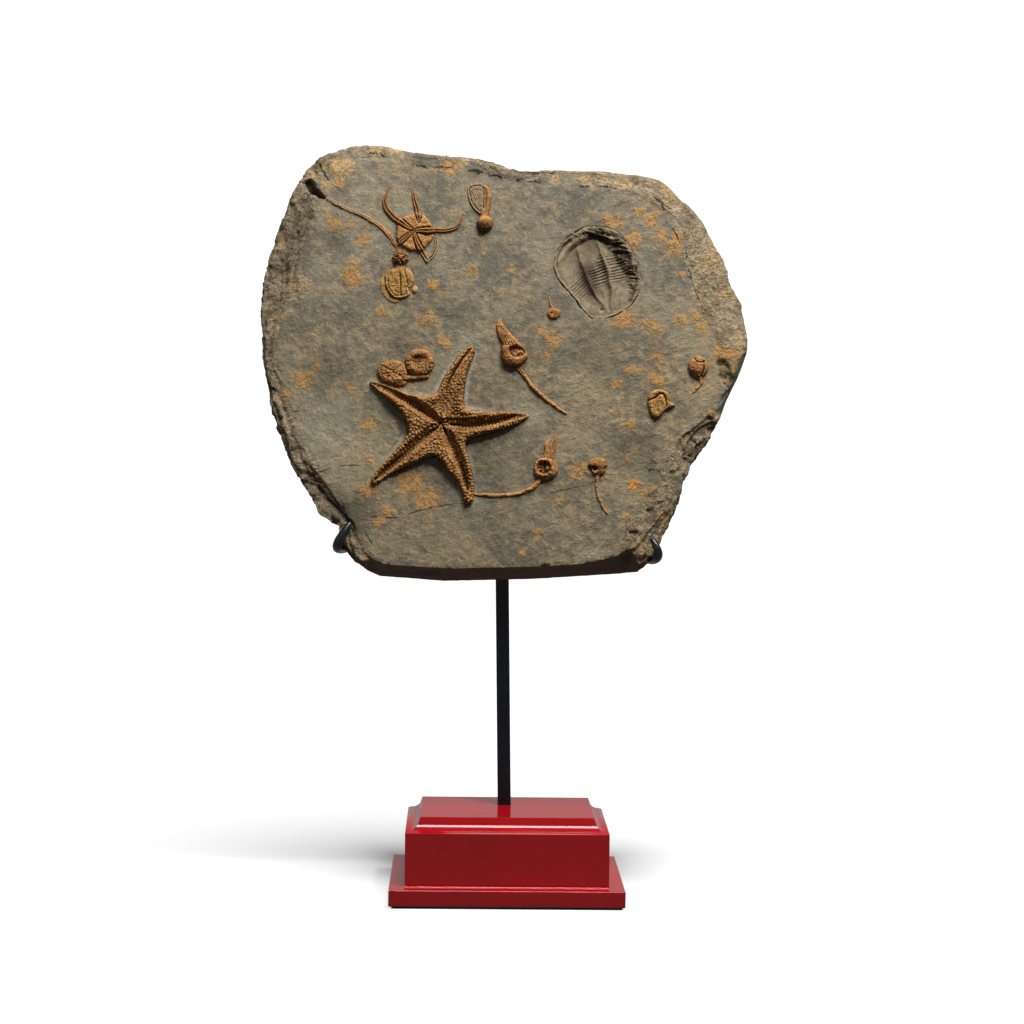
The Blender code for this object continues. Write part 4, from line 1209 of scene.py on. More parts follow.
# Arms of the brittle star: x, y and half width, from the middle to the tip
BRITTLE_ARMS = [
    [
        (-64.0, 229.7, 1.0), (-69.5, 233.5, 1.8), (-75.7, 237.9, 2.2), (-79.9, 241.7, 2.3),
        (-82.7, 246.1, 2.1), (-83.4, 251.0, 1.7), (-82.1, 255.9, 1.2), (-80.1, 260.1, 0.8),
        (-78.5, 263.6, 0.4),
    ],
    [
        (-59.6, 235.2, 0.5), (-60.1, 239.1, 1.7), (-61.5, 245.7, 1.8), (-63.3, 252.7, 1.5),
        (-64.7, 259.6, 1.0), (-65.5, 266.6, 0.4),
    ],
    [
        (-64.0, 229.0, 1.0), (-59.3, 229.8, 1.7), (-53.8, 229.5, 2.5), (-49.0, 230.3, 1.7),
        (-43.6, 230.3, 1.6), (-38.1, 231.1, 1.5), (-34.0, 233.2, 1.3), (-31.4, 237.1, 1.0),
        (-29.7, 242.3, 0.5),
    ],
    [(-63.3, 228.3, 1.0), (-61.2, 222.1, 1.8), (-58.1, 215.9, 1.9), (-53.9, 209.2, 1.8)],
    [(-53.9, 209.2, 1.7), (-50.2, 213.2, 1.6), (-48.2, 218.8, 1.5), (-47.9, 225.1, 1.1)],
    [(-64.7, 228.3, 0.9), (-68.1, 225.2, 1.5), (-72.4, 221.6, 1.6)],
]  # fmt: skip


def wobbled(x, y, seed, amount=0.5, size=4.5):
    """Shifts the places a little, so no outline on them is drawn perfectly."""
    return x + amount * rough(x, y, size, seed), y + amount * rough(x, y, size, seed + 50)


def crusted(up, x, y, seed, amount=1.0, size=1.6):
    """Mineral crust: packed grains of two sizes with crooked ridges, on whatever stands above the stone."""
    ridges = 1 - 2 * np.abs(rough(x, y, 3.4, seed + 8))
    texture = 0.9 * knobs(x, y, size, seed) + 0.35 * knobs(x, y, 0.6 * size, seed + 4) + 0.5 * ridges
    return up + amount * ease(0.0, 1.0, up) * (texture - 0.8)


def plate(x, y, outline, tall, edge):
    """A flat-topped form inside a smooth outline, and how far inside it each point is."""
    inner = inside(x, y, loop_path(outline))
    return np.where(inner > 0, tall * round_over(inner, edge), 3.0 * inner), inner


def scored(up, x, y, line, width, depth):
    """Cuts a thin crooked groove along a line."""
    away = near(x, y, smooth_path(line))[0] + 0.25 * rough(x, y, 2.2, 401)
    return up - depth * np.exp(-((away / width) ** 2)) * ease(-0.2, 0.3, up)


def twin_ridge(x, y, knots, tall, groove=0.9, segment=1.35):
    """An arm of two ridges with a dark line between them and small joints across."""
    up, share, run, side = rod(x, y, knots, tall)
    joints = np.abs(np.cos(np.pi * (run / segment + 0.25 * side))) ** 0.6
    arm = up - groove * np.exp(-((share / 0.26) ** 2)) - 0.35 * (1 - joints)
    return np.where(share < 1, arm, up), share


def brittle_star_shape(x, y):
    """A round crusted disc, with thin arms lying on it in grooves of their own."""
    x, y = wobbled(x, y, 89, 0.35, 3.5)
    dx, dy = x - BRITTLE_MIDDLE[0], y - BRITTLE_MIDDLE[1]
    reach = BRITTLE_RADIUS
    radius = np.hypot(dx, dy) / (reach * (1 + 0.03 * np.cos(5 * np.arctan2(dy, dx) + 0.6)))
    disc = np.where(radius < 1, 2.5 * round_over((1 - radius) * reach, 1.8), -3.0 * (radius - 1) * reach)
    up = crusted(disc + 0.3 * rough(x, y, 6, 93) * (radius < 1), x, y, 91, 0.75, 1.15)
    shade = -0.42 * ease(1.05, 0.95, radius)
    on_disc = ease(1.12, 0.92, radius)
    for number, knots in enumerate(BRITTLE_ARMS):
        arm, share = twin_ridge(x, y, knots, 1.05, 1.3, 1.5)
        up = up - 1.7 * (1 - ease(1.0, 1.6, share)) * ease(0.85, 1.0, share) * on_disc
        up = np.where(share < 1, np.maximum(up, arm + on_disc * 1.9), up)
        shade = np.where(share < 1.1, -0.9 if number == PALE_ARM else 0.5, shade)
    return up, shade


def stem_line(x, y, knots, joint=1.1, groove=0.3, crease=0.0):
    """A round stem with fine rings, or creased along its length."""
    up, share, run, _ = rod(x, y, knots)
    rings = groove * (1 - np.abs(np.cos(np.pi * run / joint)) ** 0.5)
    return np.where(share < 1, up - rings - crease * np.exp(-((share / 0.3) ** 2)), up)


def brush(x, y, knots, stripes, tall, depth=0.9):
    """A bunch of feeding arms: a flattened rod with sharp grooves along its length."""
    up, share, _, side = rod(x, y, knots, tall)
    phase = stripes * (share * side * 0.5 + 0.5)
    stripe = np.abs(np.cos(np.pi * phase + 0.15 * rough(x, y, 4, 405))) ** 0.6
    return np.where(share < 1, up - depth * (1 - stripe) * (1 - share**4), up), share


def merged(*forms):
    """The highest of some forms at each place."""
    return np.maximum.reduce(forms)


LONG_STEM = [
    (-73.6, 216.5, 1.2), (-77.0, 221.9, 1.5), (-81.2, 227.6, 1.7), (-86.6, 232.9, 1.7), (-92.1, 236.4, 1.6),
    (-97, 239.5, 1.5), (-102.4, 241.9, 1.4), (-109.2, 244.4, 1.3), (-116.1, 247.8, 1.5), (-123.0, 251.2, 1.0),
]  # fmt: skip


def long_stem_shape(x, y):
    """A stem creased along its length, with a pebbly knob at its foot."""
    x, y = wobbled(x, y, 101, 0.4)
    stem = stem_line(x, y, LONG_STEM, 1.3, 0.15, 0.5)
    knob, out = dome(x, y, (-72.0, 210.7), (5.9, 5.3), 4.6)
    petals = 0.5 * np.cos(11 * np.arctan2(y - 213, x + 72.0)) * ease(0.1, 0.5, out)
    knob = np.where(out < 1, knob + petals + 1.2 * pebbles(x, y, 1.9, 103, 0.6) - 0.8, knob)
    up = crusted(merged(stem, knob), x, y, 105, 0.7, 1.3)
    return up, np.where(out < 1.05, 0.6, 0.3 - 1.2 * ease(222, 240, y))


CALYX = [
    (-82.3, 195.5), (-82, 200.7), (-78.7, 202.8), (-74.6, 203.9), (-69.8, 204.3), (-65.7, 203),
    (-63.3, 198.5), (-63.2, 193.7), (-66.2, 188.8), (-65.5, 185.4), (-69.6, 182.9), (-75, 182.8),
    (-79.5, 185.9), (-82.2, 190.7),
]  # fmt: skip


CALYX_FRINGE = [
    (-82.7, 198.3), (-85.6, 194.8), (-85.6, 189.3), (-83.2, 184.5), (-78.4, 180.6), (-72.9, 180.2),
    (-76, 190),
]  # fmt: skip


def calyx_shape(x, y):
    """A leaf-shaped calyx in segments, on a flat fringe, with a neck above it and a chip beside it."""
    x, y = wobbled(x, y, 111, 0.5)
    body, inner = plate(x, y, CALYX, 2.3, 2.0)
    body -= 0.9 * np.exp(-(((inner - 1.9) / 0.4) ** 2)) * ease(201, 197, y) * ease(-64, -67, x)
    body = scored(body, x, y, [(-72.6, 203), (-72.2, 195.7), (-71.8, 188.8), (-71.6, 184.6)], 0.5, 1.3)
    body = scored(body, x, y, [(-69.4, 203), (-67.6, 197.0), (-66.6, 190.0)], 0.4, 0.9)
    chip = dome(x, y, (-62.3, 189.2), (2.0, 2.9), 1.7)[0]
    neck = bar(x, y, [(-72.0, 207.6, 3.2), (-72.4, 202.6, 3.8)], 0.55)
    fringe = plate(x, y, CALYX_FRINGE, 0.7, 1.6)[0]
    up = merged(body, chip, neck, fringe) + 0.7 * rough(x, y, 6, 115) * (inner > 0)
    up -= 0.4 * ease(0.25, 0.5, np.abs(rough(x, y, 5, 119))) * (inner > 1)
    shade = np.where(y > 202, 0.3, -0.45 * ease(-0.1, 0.5, rough(x, y, 7, 117)))
    return crusted(up, x, y, 113, 0.75, 1.25), shade


LEAF = [
    (-17.7, 242.5), (-21.9, 245.6), (-25, 250.4), (-26.4, 256), (-26.6, 260.1), (-24.1, 262.3),
    (-20, 263), (-15.9, 262), (-14.8, 256.1), (-15.1, 249.8), (-15.4, 243.6),
]  # fmt: skip


def feathers(x, y):
    """Fine slanting feathers, at the same pitch all over."""
    slant = (x + 20) * 0.9 + (y - 250) * 0.45 + 0.6 * rough(x, y, 3, 123)
    return np.abs(np.cos(np.pi * slant / 1.5))


ARM_BAND = [
    (-14.3, 243.6, 1.9), (-12.9, 249.2, 1.9), (-12.5, 254.8, 1.8), (-13.6, 259.6, 1.4), (-16.6, 261.9, 0.6),
]  # fmt: skip


def top_cup_shape(x, y):
    """A round cup with a neck, a striped band of arms and a feathered leaf of stone in a thin rim."""
    x, y = wobbled(x, y, 121, 0.3, 3.5)
    cup, out = dome(x, y, (-15.0, 235.5), (5.3, 5.6), 5.4)
    neck = bar(x, y, [(-15.0, 239.5, 3.1), (-15.4, 244.0, 2.3)], 0.9)
    band, on_band = brush(x, y, ARM_BAND, 2, 0.95, 0.5)
    inner = inside(x, y, loop_path(LEAF))
    leaf = np.where(inner > 0, 0.35 + 0.4 * feathers(x, y), 3 * inner)
    leaf = leaf - 0.9 * np.exp(-(((inner - 1.0) / 0.35) ** 2))
    off_rim = (inner - 0.2) / 0.75
    rim = np.where(np.abs(off_rim) < 1, 0.55 * np.sqrt(np.clip(1 - off_rim**2, 0, 1)), -9)
    up = crusted(merged(cup, neck, band, leaf, rim), x, y, 125, 0.8, 1.3)
    stony = ease(-1.5, -0.5, inner) * (on_band > 1)
    # the ball is painted dark low down and light at its top, as shade and light on it
    return up, np.where(out < 1, 0.9 * ease(238, 233, y) - 0.45 * ease(236, 240, y), -1.0 * stony)


LILY_CUP = [
    (-2.6, 151), (-2.9, 146.2), (-2.5, 142.1), (-0.4, 139), (4.3, 137), (8.4, 136.7), (12.5, 139.5),
    (15.1, 143.6), (13.7, 148.4), (10, 151.5), (5.6, 152.5), (0.8, 152.4),
]  # fmt: skip


ARM_CONE = [(4.4, 149.6, 6.6), (1.6, 154.4, 5.2), (-1.4, 159.4, 3.9), (-3.7, 164.6, 2.7), (-4.5, 168.8, 1.2)]
CENTRE_STEM = [
    (13.0, 130.8, 1.2), (18.0, 123.8, 1.4), (22.8, 119.0, 1.4), (27.6, 115.0, 1.3), (35.1, 109.2, 1.1),
    (41.6, 105.0, 0.6),
]  # fmt: skip


def centre_lily_shape(x, y):
    """A caved-in cup with a three-armed crest in its hollow, a striped cone of arms and a thin stem."""
    x, y = wobbled(x, y, 131, 0.4)
    cup, inner = plate(x, y, LILY_CUP, 5.0, 3.4)
    cup = hollowed(cup, x, y, (7.8, 147.0), (5.6, 4.0), 0.7, -12, 0.3)
    crest = merged(
        bar(x, y, [(6.3, 145.0, 1.3), (3.6, 147.4, 0.8)], 1.6),
        bar(x, y, [(6.3, 145.0, 1.3), (9.8, 147.0, 1.0), (12.0, 145.8, 0.8)], 1.6),
        bar(x, y, [(6.3, 145.0, 1.3), (6.6, 141.6, 1.1)], 1.8),
    )
    cup = np.where(inner > 0, np.maximum(cup, crest), cup)
    outside_hollow = dome(x, y, (7.8, 147.0), (6.2, 4.6), 1.0, -12)[1] > 1
    cone = np.where(outside_hollow, brush(x, y, ARM_CONE, 6, 0.72, 1.1)[0], -9)
    neck = twin_ridge(x, y, [(8.4, 137.4, 1.5), (10.5, 134.0, 1.4), (13.4, 130.2, 1.3)], 0.9)[0]
    up = merged(cup, cone, neck, stem_line(x, y, CENTRE_STEM))
    shade = np.where(inner > 0, 0.15, -0.55 * ease(134, 128, y) - 0.7 * ease(164, 168, y))
    return crusted(up, x, y, 133, 0.9, 1.5), shade


BUD = [
    (28.4, 175.6), (30.6, 177.6), (34, 177.4), (37.6, 175.2), (36.6, 172.2), (33.4, 170.0), (30.0, 170.2),
    (28.2, 172.6),
]  # fmt: skip


def bud_shape(x, y):
    x, y = wobbled(x, y, 141, 0.4, 3)
    body = plate(x, y, BUD, 2.1, 1.8)[0]
    stem = stem_line(x, y, [(32.2, 175.8, 1.3), (30.6, 179.6, 1.0), (29.2, 185.4, 0.6)])
    return crusted(merged(body, stem), x, y, 143, 0.8, 1.3), np.zeros(x.shape)


CURVED_STEM = [
    (26.2, 61.9, 1.7), (21.9, 57.0, 1.6), (17.2, 53.4, 1.5), (10.5, 50.6, 1.4), (2.4, 49.2, 1.3),
    (-5.8, 48.7, 1.3), (-13.9, 49.0, 1.2), (-20.4, 49.6, 0.8),
]  # fmt: skip


def curved_stem_shape(x, y):
    """A ring-shaped cup with walls across its hollow, two thin arms above it and a long curved stem."""
    x, y = wobbled(x, y, 151, 0.4)
    ring, out = dome(x, y, (27.9, 67.2), (8.3, 7.8), 4.6, 0, 2.8)
    ring = hollowed(ring, x, y, (26.2, 67.8), (4.6, 4.2), 0.3, 0, 0.3)
    angle = np.arctan2(y - 67.4, x - 27.4)
    walls = 0.9 * np.abs(np.cos(4.5 * angle + 0.4)) ** 2 * ease(0.75, 0.45, out) * ease(0.1, 0.3, out)
    bump = dome(x, y, (30.0, 67.0), (2.8, 2.6), 3.0)[0]
    cup = np.where(out < 1, np.maximum(ring + walls, bump), ring)
    left = bar(x, y, [(29.2, 73.2, 2.6), (28.3, 79.4, 1.9), (28.5, 83.5, 1.6), (29.8, 86.9, 0.9)], 0.8)
    right = bar(x, y, [(31.8, 74.4, 2.0), (32.9, 80.1, 1.5), (34.2, 86.3, 1.3), (35.5, 93.2, 0.5)], 0.8)
    up = merged(cup, left, right, stem_line(x, y, CURVED_STEM))
    return crusted(up, x, y, 153, 0.85, 1.4), np.where(out < 0.55, 0.5, -0.35 * ease(62, 58, y))


SMALL_STEM = [
    (63.1, 64.8, 1.5), (62.6, 60, 1.2), (62.5, 54.6, 1.1), (63.7, 48.5, 1.1), (66.6, 41.7, 1.0),
    (69.8, 37.2, 0.5),
]  # fmt: skip


def small_stem_shape(x, y):
    """A small cup with a lip under its opening, and a straight stem."""
    x, y = wobbled(x, y, 161, 0.4, 3.5)
    cap = dome(x, y, (63.1, 70.6), (6.7, 4.7), 3.8)[0]
    lower = dome(x, y, (63.8, 66.6), (4.8, 3.6), 2.8)[0]
    lip = bar(x, y, [(57.6, 67.4, 0.9), (60.6, 65.2, 1.2), (64.4, 65.4, 1.2), (67.4, 67.4, 0.9)], 2.0)
    cup = merged(cap, lower)
    cup = np.maximum(hollowed(cup, x, y, (60.0, 67.9), (2.9, 1.5), 0.3, -8, 0.3), np.where(cup > 0, lip, -9))
    up = merged(cup, stem_line(x, y, SMALL_STEM))
    return crusted(up, x, y, 163, 0.95, 1.3), np.where(y > 63, 0.1, -0.7)


HEART = [
    (96.7, 113.2), (97.5, 118.5), (101.3, 122), (105.7, 122.4), (110.3, 120.2), (112.5, 117.3),
    (111.5, 114.1), (115.6, 111.5), (109.6, 108.4), (105.7, 104.2), (102.8, 102.6), (99.6, 104.5),
    (97.6, 109.4),
]  # fmt: skip


HEART_SEAM = [(97.4, 114.4), (101.6, 116.6), (105.6, 119.6), (108.6, 116.4), (109.4, 110.6)]


def heart_shape(x, y):
    """A flat heart with a thin seam round its upper edge."""
    x, y = wobbled(x, y, 171, 0.4)
    body = plate(x, y, HEART, 2.9, 2.0)[0]
    body = scored(body, x, y, HEART_SEAM, 0.55, 1.7)
    body = scored(body, x, y, [(100.5, 111.5), (103.4, 110.4), (107.0, 111.4)], 0.4, 0.5)
    return crusted(body, x, y, 173, 0.8, 1.5), 0.3 * ease(117, 119, y)


RIGHT_STEM = [
    (132.0, 131.6, 1.7), (133.4, 127.9, 1.2), (131.7, 125.1, 1.1), (129.2, 122.7, 1.2), (125.6, 118.4, 0.6),
]  # fmt: skip


def right_cup_shape(x, y):
    """A round cup scored in three parts, with a short crooked stem."""
    x, y = wobbled(x, y, 181, 0.4)
    cup, out = dome(x, y, (131.1, 138.2), (6.8, 7.3), 4.4, 0, 2.4)
    cup = scored(cup, x, y, [(134.6, 142.0), (134.5, 136.1), (133.0, 131.6)], 0.5, 1.7)
    cup = scored(cup, x, y, [(128.2, 143.6), (131.0, 140.8), (135.6, 141.8)], 0.5, 1.2)
    up = merged(cup, stem_line(x, y, RIGHT_STEM))
    return crusted(up, x, y, 183, 0.9, 1.5), np.where(out < 1, 0.0, -0.3)


def disc_right_shape(x, y):
    """A round disc with a finely toothed rim and an oval hollow."""
    x, y = wobbled(x, y, 191, 0.5)
    disc, out = dome(x, y, (-58.1, 138.9), (9.9, 9.3), 3.2, 0, 3.0)
    teeth = 0.18 * np.cos(19 * np.arctan2(y - 138.9, x + 58.1)) * ease(0.5, 0.8, out)
    disc += np.where(out < 1, teeth + 0.5 * np.exp(-(((out - 0.72) / 0.15) ** 2)), 0)
    disc = hollowed(disc, x, y, (-59.4, 140.4), (4.8, 3.0), 1.3, 8, 0.5)
    round_hollow = dome(x, y, (-59.4, 140.4), (9, 6), 1)[1]
    return crusted(disc, x, y, 193, 1.05, 1.5), 0.2 + 0.4 * ease(0.55, 0.3, round_hollow)


DISC_SCORES = [
    [(-84, 136), (-78, 133), (-69, 128)],
    [(-80, 128), (-76, 132), (-71, 137)],
    [(-76, 132), (-84, 130)],
    [(-74, 131), (-68, 133)],
]
DISC_STEM = [(-68.2, 128.2, 1.9), (-62.1, 128.3, 1.7), (-57.3, 129.0, 1.5), (-52.8, 129.2, 1.2)]


def disc_left_shape(x, y):
    """A round disc scored in segments, with a short stem and a smaller piece under it."""
    x, y = wobbled(x, y, 201, 0.5)
    disc = dome(x, y, (-76.6, 132.2), (9.9, 8.5), 3.0, 0, 3.0)[0]
    for line in DISC_SCORES:
        disc = scored(disc, x, y, line, 0.5, 0.6)
    lower = dome(x, y, (-72.0, 125.0), (5.4, 2.4), 1.5)[0]
    up = merged(disc, stem_line(x, y, DISC_STEM, 1.2, 0.1), lower)
    return crusted(up, x, y, 203, 0.9, 1.6), np.where(y < 125.5, 0.6, 0.2)


TRILOBITE_HEAD, TRILOBITE_TAIL = np.array((50.0, 232.6)), np.array((71.0, 171.4))


# A small rusty hole near its lower edge
TRILOBITE_HOLE = (65.0, 176.6)


def on_trilobite(x, y):
    """Where each point lies on the trilobite: how far inside its edge, along its spine and across it, the
    half width of the middle trough there, and how far towards the upper right, where the mould is deepest."""
    wx, wy = wobbled(x, y, 211, 0.6, 6)
    spine = TRILOBITE_TAIL - TRILOBITE_HEAD
    length = np.hypot(*spine)
    unit = spine / length
    dx, dy = wx - TRILOBITE_HEAD[0], wy - TRILOBITE_HEAD[1]
    at = SimpleNamespace(length=length)
    at.inner = inside(wx, wy, loop_path(TRILOBITE_EDGE))
    at.run = dx * unit[0] + dy * unit[1]
    at.share = at.run / length
    at.across = dy * unit[0] - dx * unit[1] - 1.5
    at.flank = np.abs(at.across)
    at.half = 7.6 - 1.4 * ease(0.5, 0.7, at.share) - 4.6 * ease(0.68, 0.92, at.share)
    at.slope = ((x - 60.5) * 0.72 + (y - 202) * 0.69) / 30
    at.deep = ease(-0.15, 0.75, at.slope)
    at.head = ease(0.34, 0.22, at.share)
    at.hole = np.hypot(x - TRILOBITE_HOLE[0], y - TRILOBITE_HOLE[1])
    return at


def trilobite_ribs(at):
    """Ribs over the middle of the body, swept back on the left."""
    swept = at.run - np.where(at.across < 0, 0.5, 0.08) * np.clip(at.flank - at.half + 2, 0, None)
    start = swept / at.length + 0.07 * (at.across > 3)
    ribbed = ease(0.41, 0.45, start) * ease(0.66, 0.61, swept / at.length)
    ribbed *= ease(at.half + 16, at.half + 12, at.flank)
    ribbed *= 1 - 0.75 * np.exp(-(((at.flank - at.half) / 1.3) ** 2))
    return 0.85 * (np.abs(np.cos(np.pi * swept / 2.05)) ** 0.8 - 0.6) * ribbed


def trilobite_dish(x, y, at):
    """The floor of the mould: three troughs with low ridges between them, ribs, a smooth head and tail."""
    dish = -1.1 - 1.5 * at.slope
    trough = np.clip(1 - (at.across / at.half) ** 2, 0, 1)
    dish -= 2.1 * trough * ease(0.95, 0.75, at.share) * ease(0.05, 0.3, at.share)
    ridges = np.exp(-(((at.flank - at.half) / 1.4) ** 2))
    dish += 0.9 * ridges * ease(0.96, 0.86, at.share) * ease(0.12, 0.3, at.share)
    dish -= 1.8 * np.clip(1 - ((at.flank - at.half - 7) / 7.5) ** 2, 0, 1) * ease(0.9, 0.7, at.share)
    dish += trilobite_ribs(at)
    dish += 0.9 * np.exp(-((at.run - 0.27 * at.length) / 8) ** 2 - ((at.across + 1) / 6.5) ** 2)
    border = 1.5 * np.exp(-(((at.inner - 4.6) / 1.9) ** 2)) - 0.9 * np.exp(-(((at.inner - 8.0) / 1.0) ** 2))
    dish += at.head * border
    dish += 0.45 * rough(x, y, 9, 213) - 1.1 * np.exp(-(at.hole**2))
    return np.maximum(dish, -4.4)


def trilobite_shade(x, y, at, fall, broken):
    """Painted shade on the broken wall and on the right side of each trough, and paler on the border, the rim
    and round the hole.
    """
    # painted shade over the broken wall, broken by rust patches
    shade = np.clip(0.9 * broken * ease(0.95, 0.25, fall) + 0.35 * broken, 0, 1)
    shade -= 1.1 * broken * ease(0.1, 0.5, rough(x, y, 4, 231))
    # painted shade, darker towards the right side of each trough
    left = at.across < 0
    into_trough = np.where(left, at.across + at.half + 9, at.across) / np.where(left, 9, at.half)
    troughs = ease(0.05, 0.9, into_trough) * (at.flank < at.half + 9) * (at.across < at.half)
    shade += 0.5 * troughs * ease(0.30, 0.42, at.share) * ease(0.86, 0.66, at.share)
    shade += 0.35 * ease(-0.1, 0.5, rough(x, y, 14, 229)) * ease(2, 5, at.inner)
    shade -= 0.8 * ease(0.15, 0.6, rough(x, y, 9, 233)) * at.head * ease(10, 6, at.inner)
    shade -= (0.45 + 0.4 * rough(x, y, 6, 227)) * ease(2.6, 0.9, at.inner) * (1 - at.deep)
    shade -= 0.9 * np.exp(-((at.hole / 2.0) ** 2))
    return shade - 0.35 * at.head * np.exp(-(((at.inner - 4.0) / 2.2) ** 2))


def trilobite_shape(x, y):
    """The mould of a trilobite, dished deeper towards the upper right, where the stone breaks down to it in
    ragged ledges. Its rim stands up along the lower left and the bottom."""
    at = on_trilobite(x, y)
    inner, deep = at.inner, at.deep
    fall = inner / (1.8 + 8.5 * deep) + 0.25 * rough(x, y, 4.5, 217) * deep
    broken = 4 * np.clip(fall * (1.15 - fall), 0, 0.25) * deep
    crag = 1.5 * (0.5 - np.abs(rough(x * 0.5, y * 1.7 + 0.3 * x, 4.6, 219))) + 0.8 * rough(x, y, 2.4, 221)
    rim = (0.45 + 1.5 * rough(x, y, 7, 225) + 0.9 * rough(x, y, 2.6, 226)) * (1 - deep)
    edge = 0.15 + rim * np.exp(-(((inner - 1.3) / 1.2) ** 2))
    up = mix(edge, trilobite_dish(x, y, at), ease(0.0, 1.0, fall))
    up += broken * crag * 1.8
    up += 0.35 * rough(x, y, 3, 223) * ease(3, 1, inner)
    # its edge laps over the stone at the right, and stands clear of it at the lower left
    outer = np.clip(-inner, 0, None)
    up = np.where(inner < 0, mix(0.15 - 0.45 * outer, -5.0 * outer, 1 - deep), up)
    up = np.where(inner < mix(-0.8, -1.9, deep), -9, np.maximum(up, -4.5))
    return up, trilobite_shade(x, y, at, fall, broken)


# Colours of the fossils: body, deepest and lightest shade, and the other stone or mineral on them
DEEP_RUST = (0.085, 0.036, 0.014)
STAR_COLOURS = ((0.170, 0.077, 0.026), DEEP_RUST, (0.33, 0.172, 0.060), (0.22, 0.16, 0.095))
RUST_COLOURS = ((0.182, 0.083, 0.028), DEEP_RUST, (0.345, 0.176, 0.064), (0.20, 0.150, 0.090))
OCHRE_COLOURS = ((0.215, 0.112, 0.034), (0.10, 0.045, 0.016), (0.35, 0.20, 0.070), (0.24, 0.17, 0.095))
MOULD_COLOURS = ((0.122, 0.095, 0.060), (0.034, 0.023, 0.014), (0.190, 0.150, 0.097), (0.27, 0.165, 0.080))


def fossils():
    """Every fossil: its node, the corners and pitch of its grid on the face, its shape and its finish."""
    star = fossil_finish("starfish rust", *STAR_COLOURS)
    rust = fossil_finish("fossil rust", *RUST_COLOURS, 1.1)
    ochre = fossil_finish("fossil ochre", *OCHRE_COLOURS, 1.3)
    mould = fossil_finish("trilobite mould", *MOULD_COLOURS, 1.6, 0.2)
    relief("starfish_fossil", "starfish", (-94, 39.5), (19, 154), 0.36, starfish_shape, star)
    relief("brittle_star_fossil", "brittle_star", (-86, 205), (-27, 269), 0.36, brittle_star_shape, rust)
    relief("long_stem_fossil", "sea_lily_long_stem", (-126, 203), (-64, 254), 0.4, long_stem_shape, rust)
    relief("calyx_fossil", "sea_lily_calyx", (-88, 178), (-58, 209), 0.38, calyx_shape, ochre)
    relief("top_cup_fossil", "sea_lily_top", (-29, 228), (-8, 266), 0.34, top_cup_shape, rust)
    relief("middle_lily_fossil", "sea_lily_center", (-9, 103), (44, 172), 0.36, centre_lily_shape, rust)
    relief("bud_fossil", "sea_lily_bud", (26, 168), (40, 188), 0.36, bud_shape, rust)
    relief("curved_stem_fossil", "sea_lily_curved_stem", (-23, 45), (39, 96), 0.38, curved_stem_shape, rust)
    relief("small_stem_fossil", "sea_lily_small_stem", (54, 35), (73, 78), 0.34, small_stem_shape, rust)
    relief("heart_fossil", "sea_lily_heart", (94, 100), (118, 125), 0.36, heart_shape, ochre)
    relief("right_cup_fossil", "sea_lily_right", (122, 116), (140, 148), 0.34, right_cup_shape, rust)
    relief("right_disc_fossil", "round_disc_right", (-70, 127), (-46, 151), 0.36, disc_right_shape, rust)
    relief("left_disc_fossil", "round_disc_left", (-89, 121), (-50, 143), 0.36, disc_left_shape, rust)
    relief(
        "trilobite_fossil", "trilobite", (28, 167), (96, 239), 0.38, trilobite_shape, mould,
        slot="trilobite_stone", steps=3, sunk=-4.6,
    )  # fmt: skip


# The stand

# The base's middle, off the slab's, and the top of the felt pad under it
BASE_X = 4.0
PAD_TOP = 1.5
PLINTH = (157.0, 120.0, 11.1)
BLOCK = (136.0, 99.0)
BLOCK_BOTTOM, BLOCK_EDGE = 12.6, 48.5
# Round the block's top, each inwards and up: a sloping ledge, the hollow and the edge above it
LEDGE = (3.0, 1.2)
COVE = (5.6, 4.6)
FILLET = (1.4, 3.6)
# Radius of the hollow round the block's foot
FOOT = 1.0
BLOCK_TOP = BLOCK_EDGE + LEDGE[1] + COVE[1] + FILLET[1]
# The bar: its width, its lean to the right in degrees, where it stands in the block, how far up the slab it
# ends and how deep it is in its socket
POLE_WIDTH, POLE_TILT = 9.0, 1.15
POLE_X, POLE_FRONT_Y = 2.7, 7.4
POLE_TOP, POLE_SUNK = 152.0, 20.0
# What lies on the slab's back stands this far clear of it
CLEAR = 0.4


def cube(size, low, middle=(0.0, 0.0)):
    """A box that stands on a height, in millimetres."""
    bpy.ops.object.select_all(action="DESELECT")
    bpy.ops.mesh.primitive_cube_add(size=1.0)
    made = bpy.context.object
    points = points_of(made)
    points = points * size + (middle[0], middle[1], low + size[2] / 2)
    move_points(made, points)
    return made


def pick_top(piece):
    """Selects the piece's highest face, in edit mode."""
    only(piece)
    bpy.ops.object.mode_set(mode="EDIT")
    bpy.ops.mesh.select_mode(type="FACE")
    bpy.ops.mesh.select_all(action="DESELECT")
    bpy.ops.object.mode_set(mode="OBJECT")
    top = max(piece.data.polygons, key=lambda face: face.center.z)
    top.select = True
    bpy.ops.object.mode_set(mode="EDIT")


def smooth_edges(piece, width, segments=3, angle=35):
    """Rounds a piece's sharp edges. Its long faces keep the light straight along them, right up to those."""
    sharp = math.radians(angle)
    modified(piece, "BEVEL", width=width, segments=segments, limit_method="ANGLE", angle_limit=sharp)
    only(piece)
    bpy.ops.object.shade_smooth_by_angle(angle=math.radians(40))
    modified(piece, "WEIGHTED_NORMAL", keep_sharp=True)


def hollow_steps(size, count, gentle=0.0):
    """A quarter round hollow, as steps inwards and up; a gentle one bends more slowly half way."""
    turns = (np.arange(count) + 0.5) * math.pi / 2 / count
    lengths = 1 + gentle * np.exp(-(((turns - 0.82) / 0.18) ** 2))
    inwards, upwards = lengths * np.cos(turns), lengths * np.sin(turns)
    return list(zip(size[0] * inwards / inwards.sum(), size[1] * upwards / upwards.sum()))


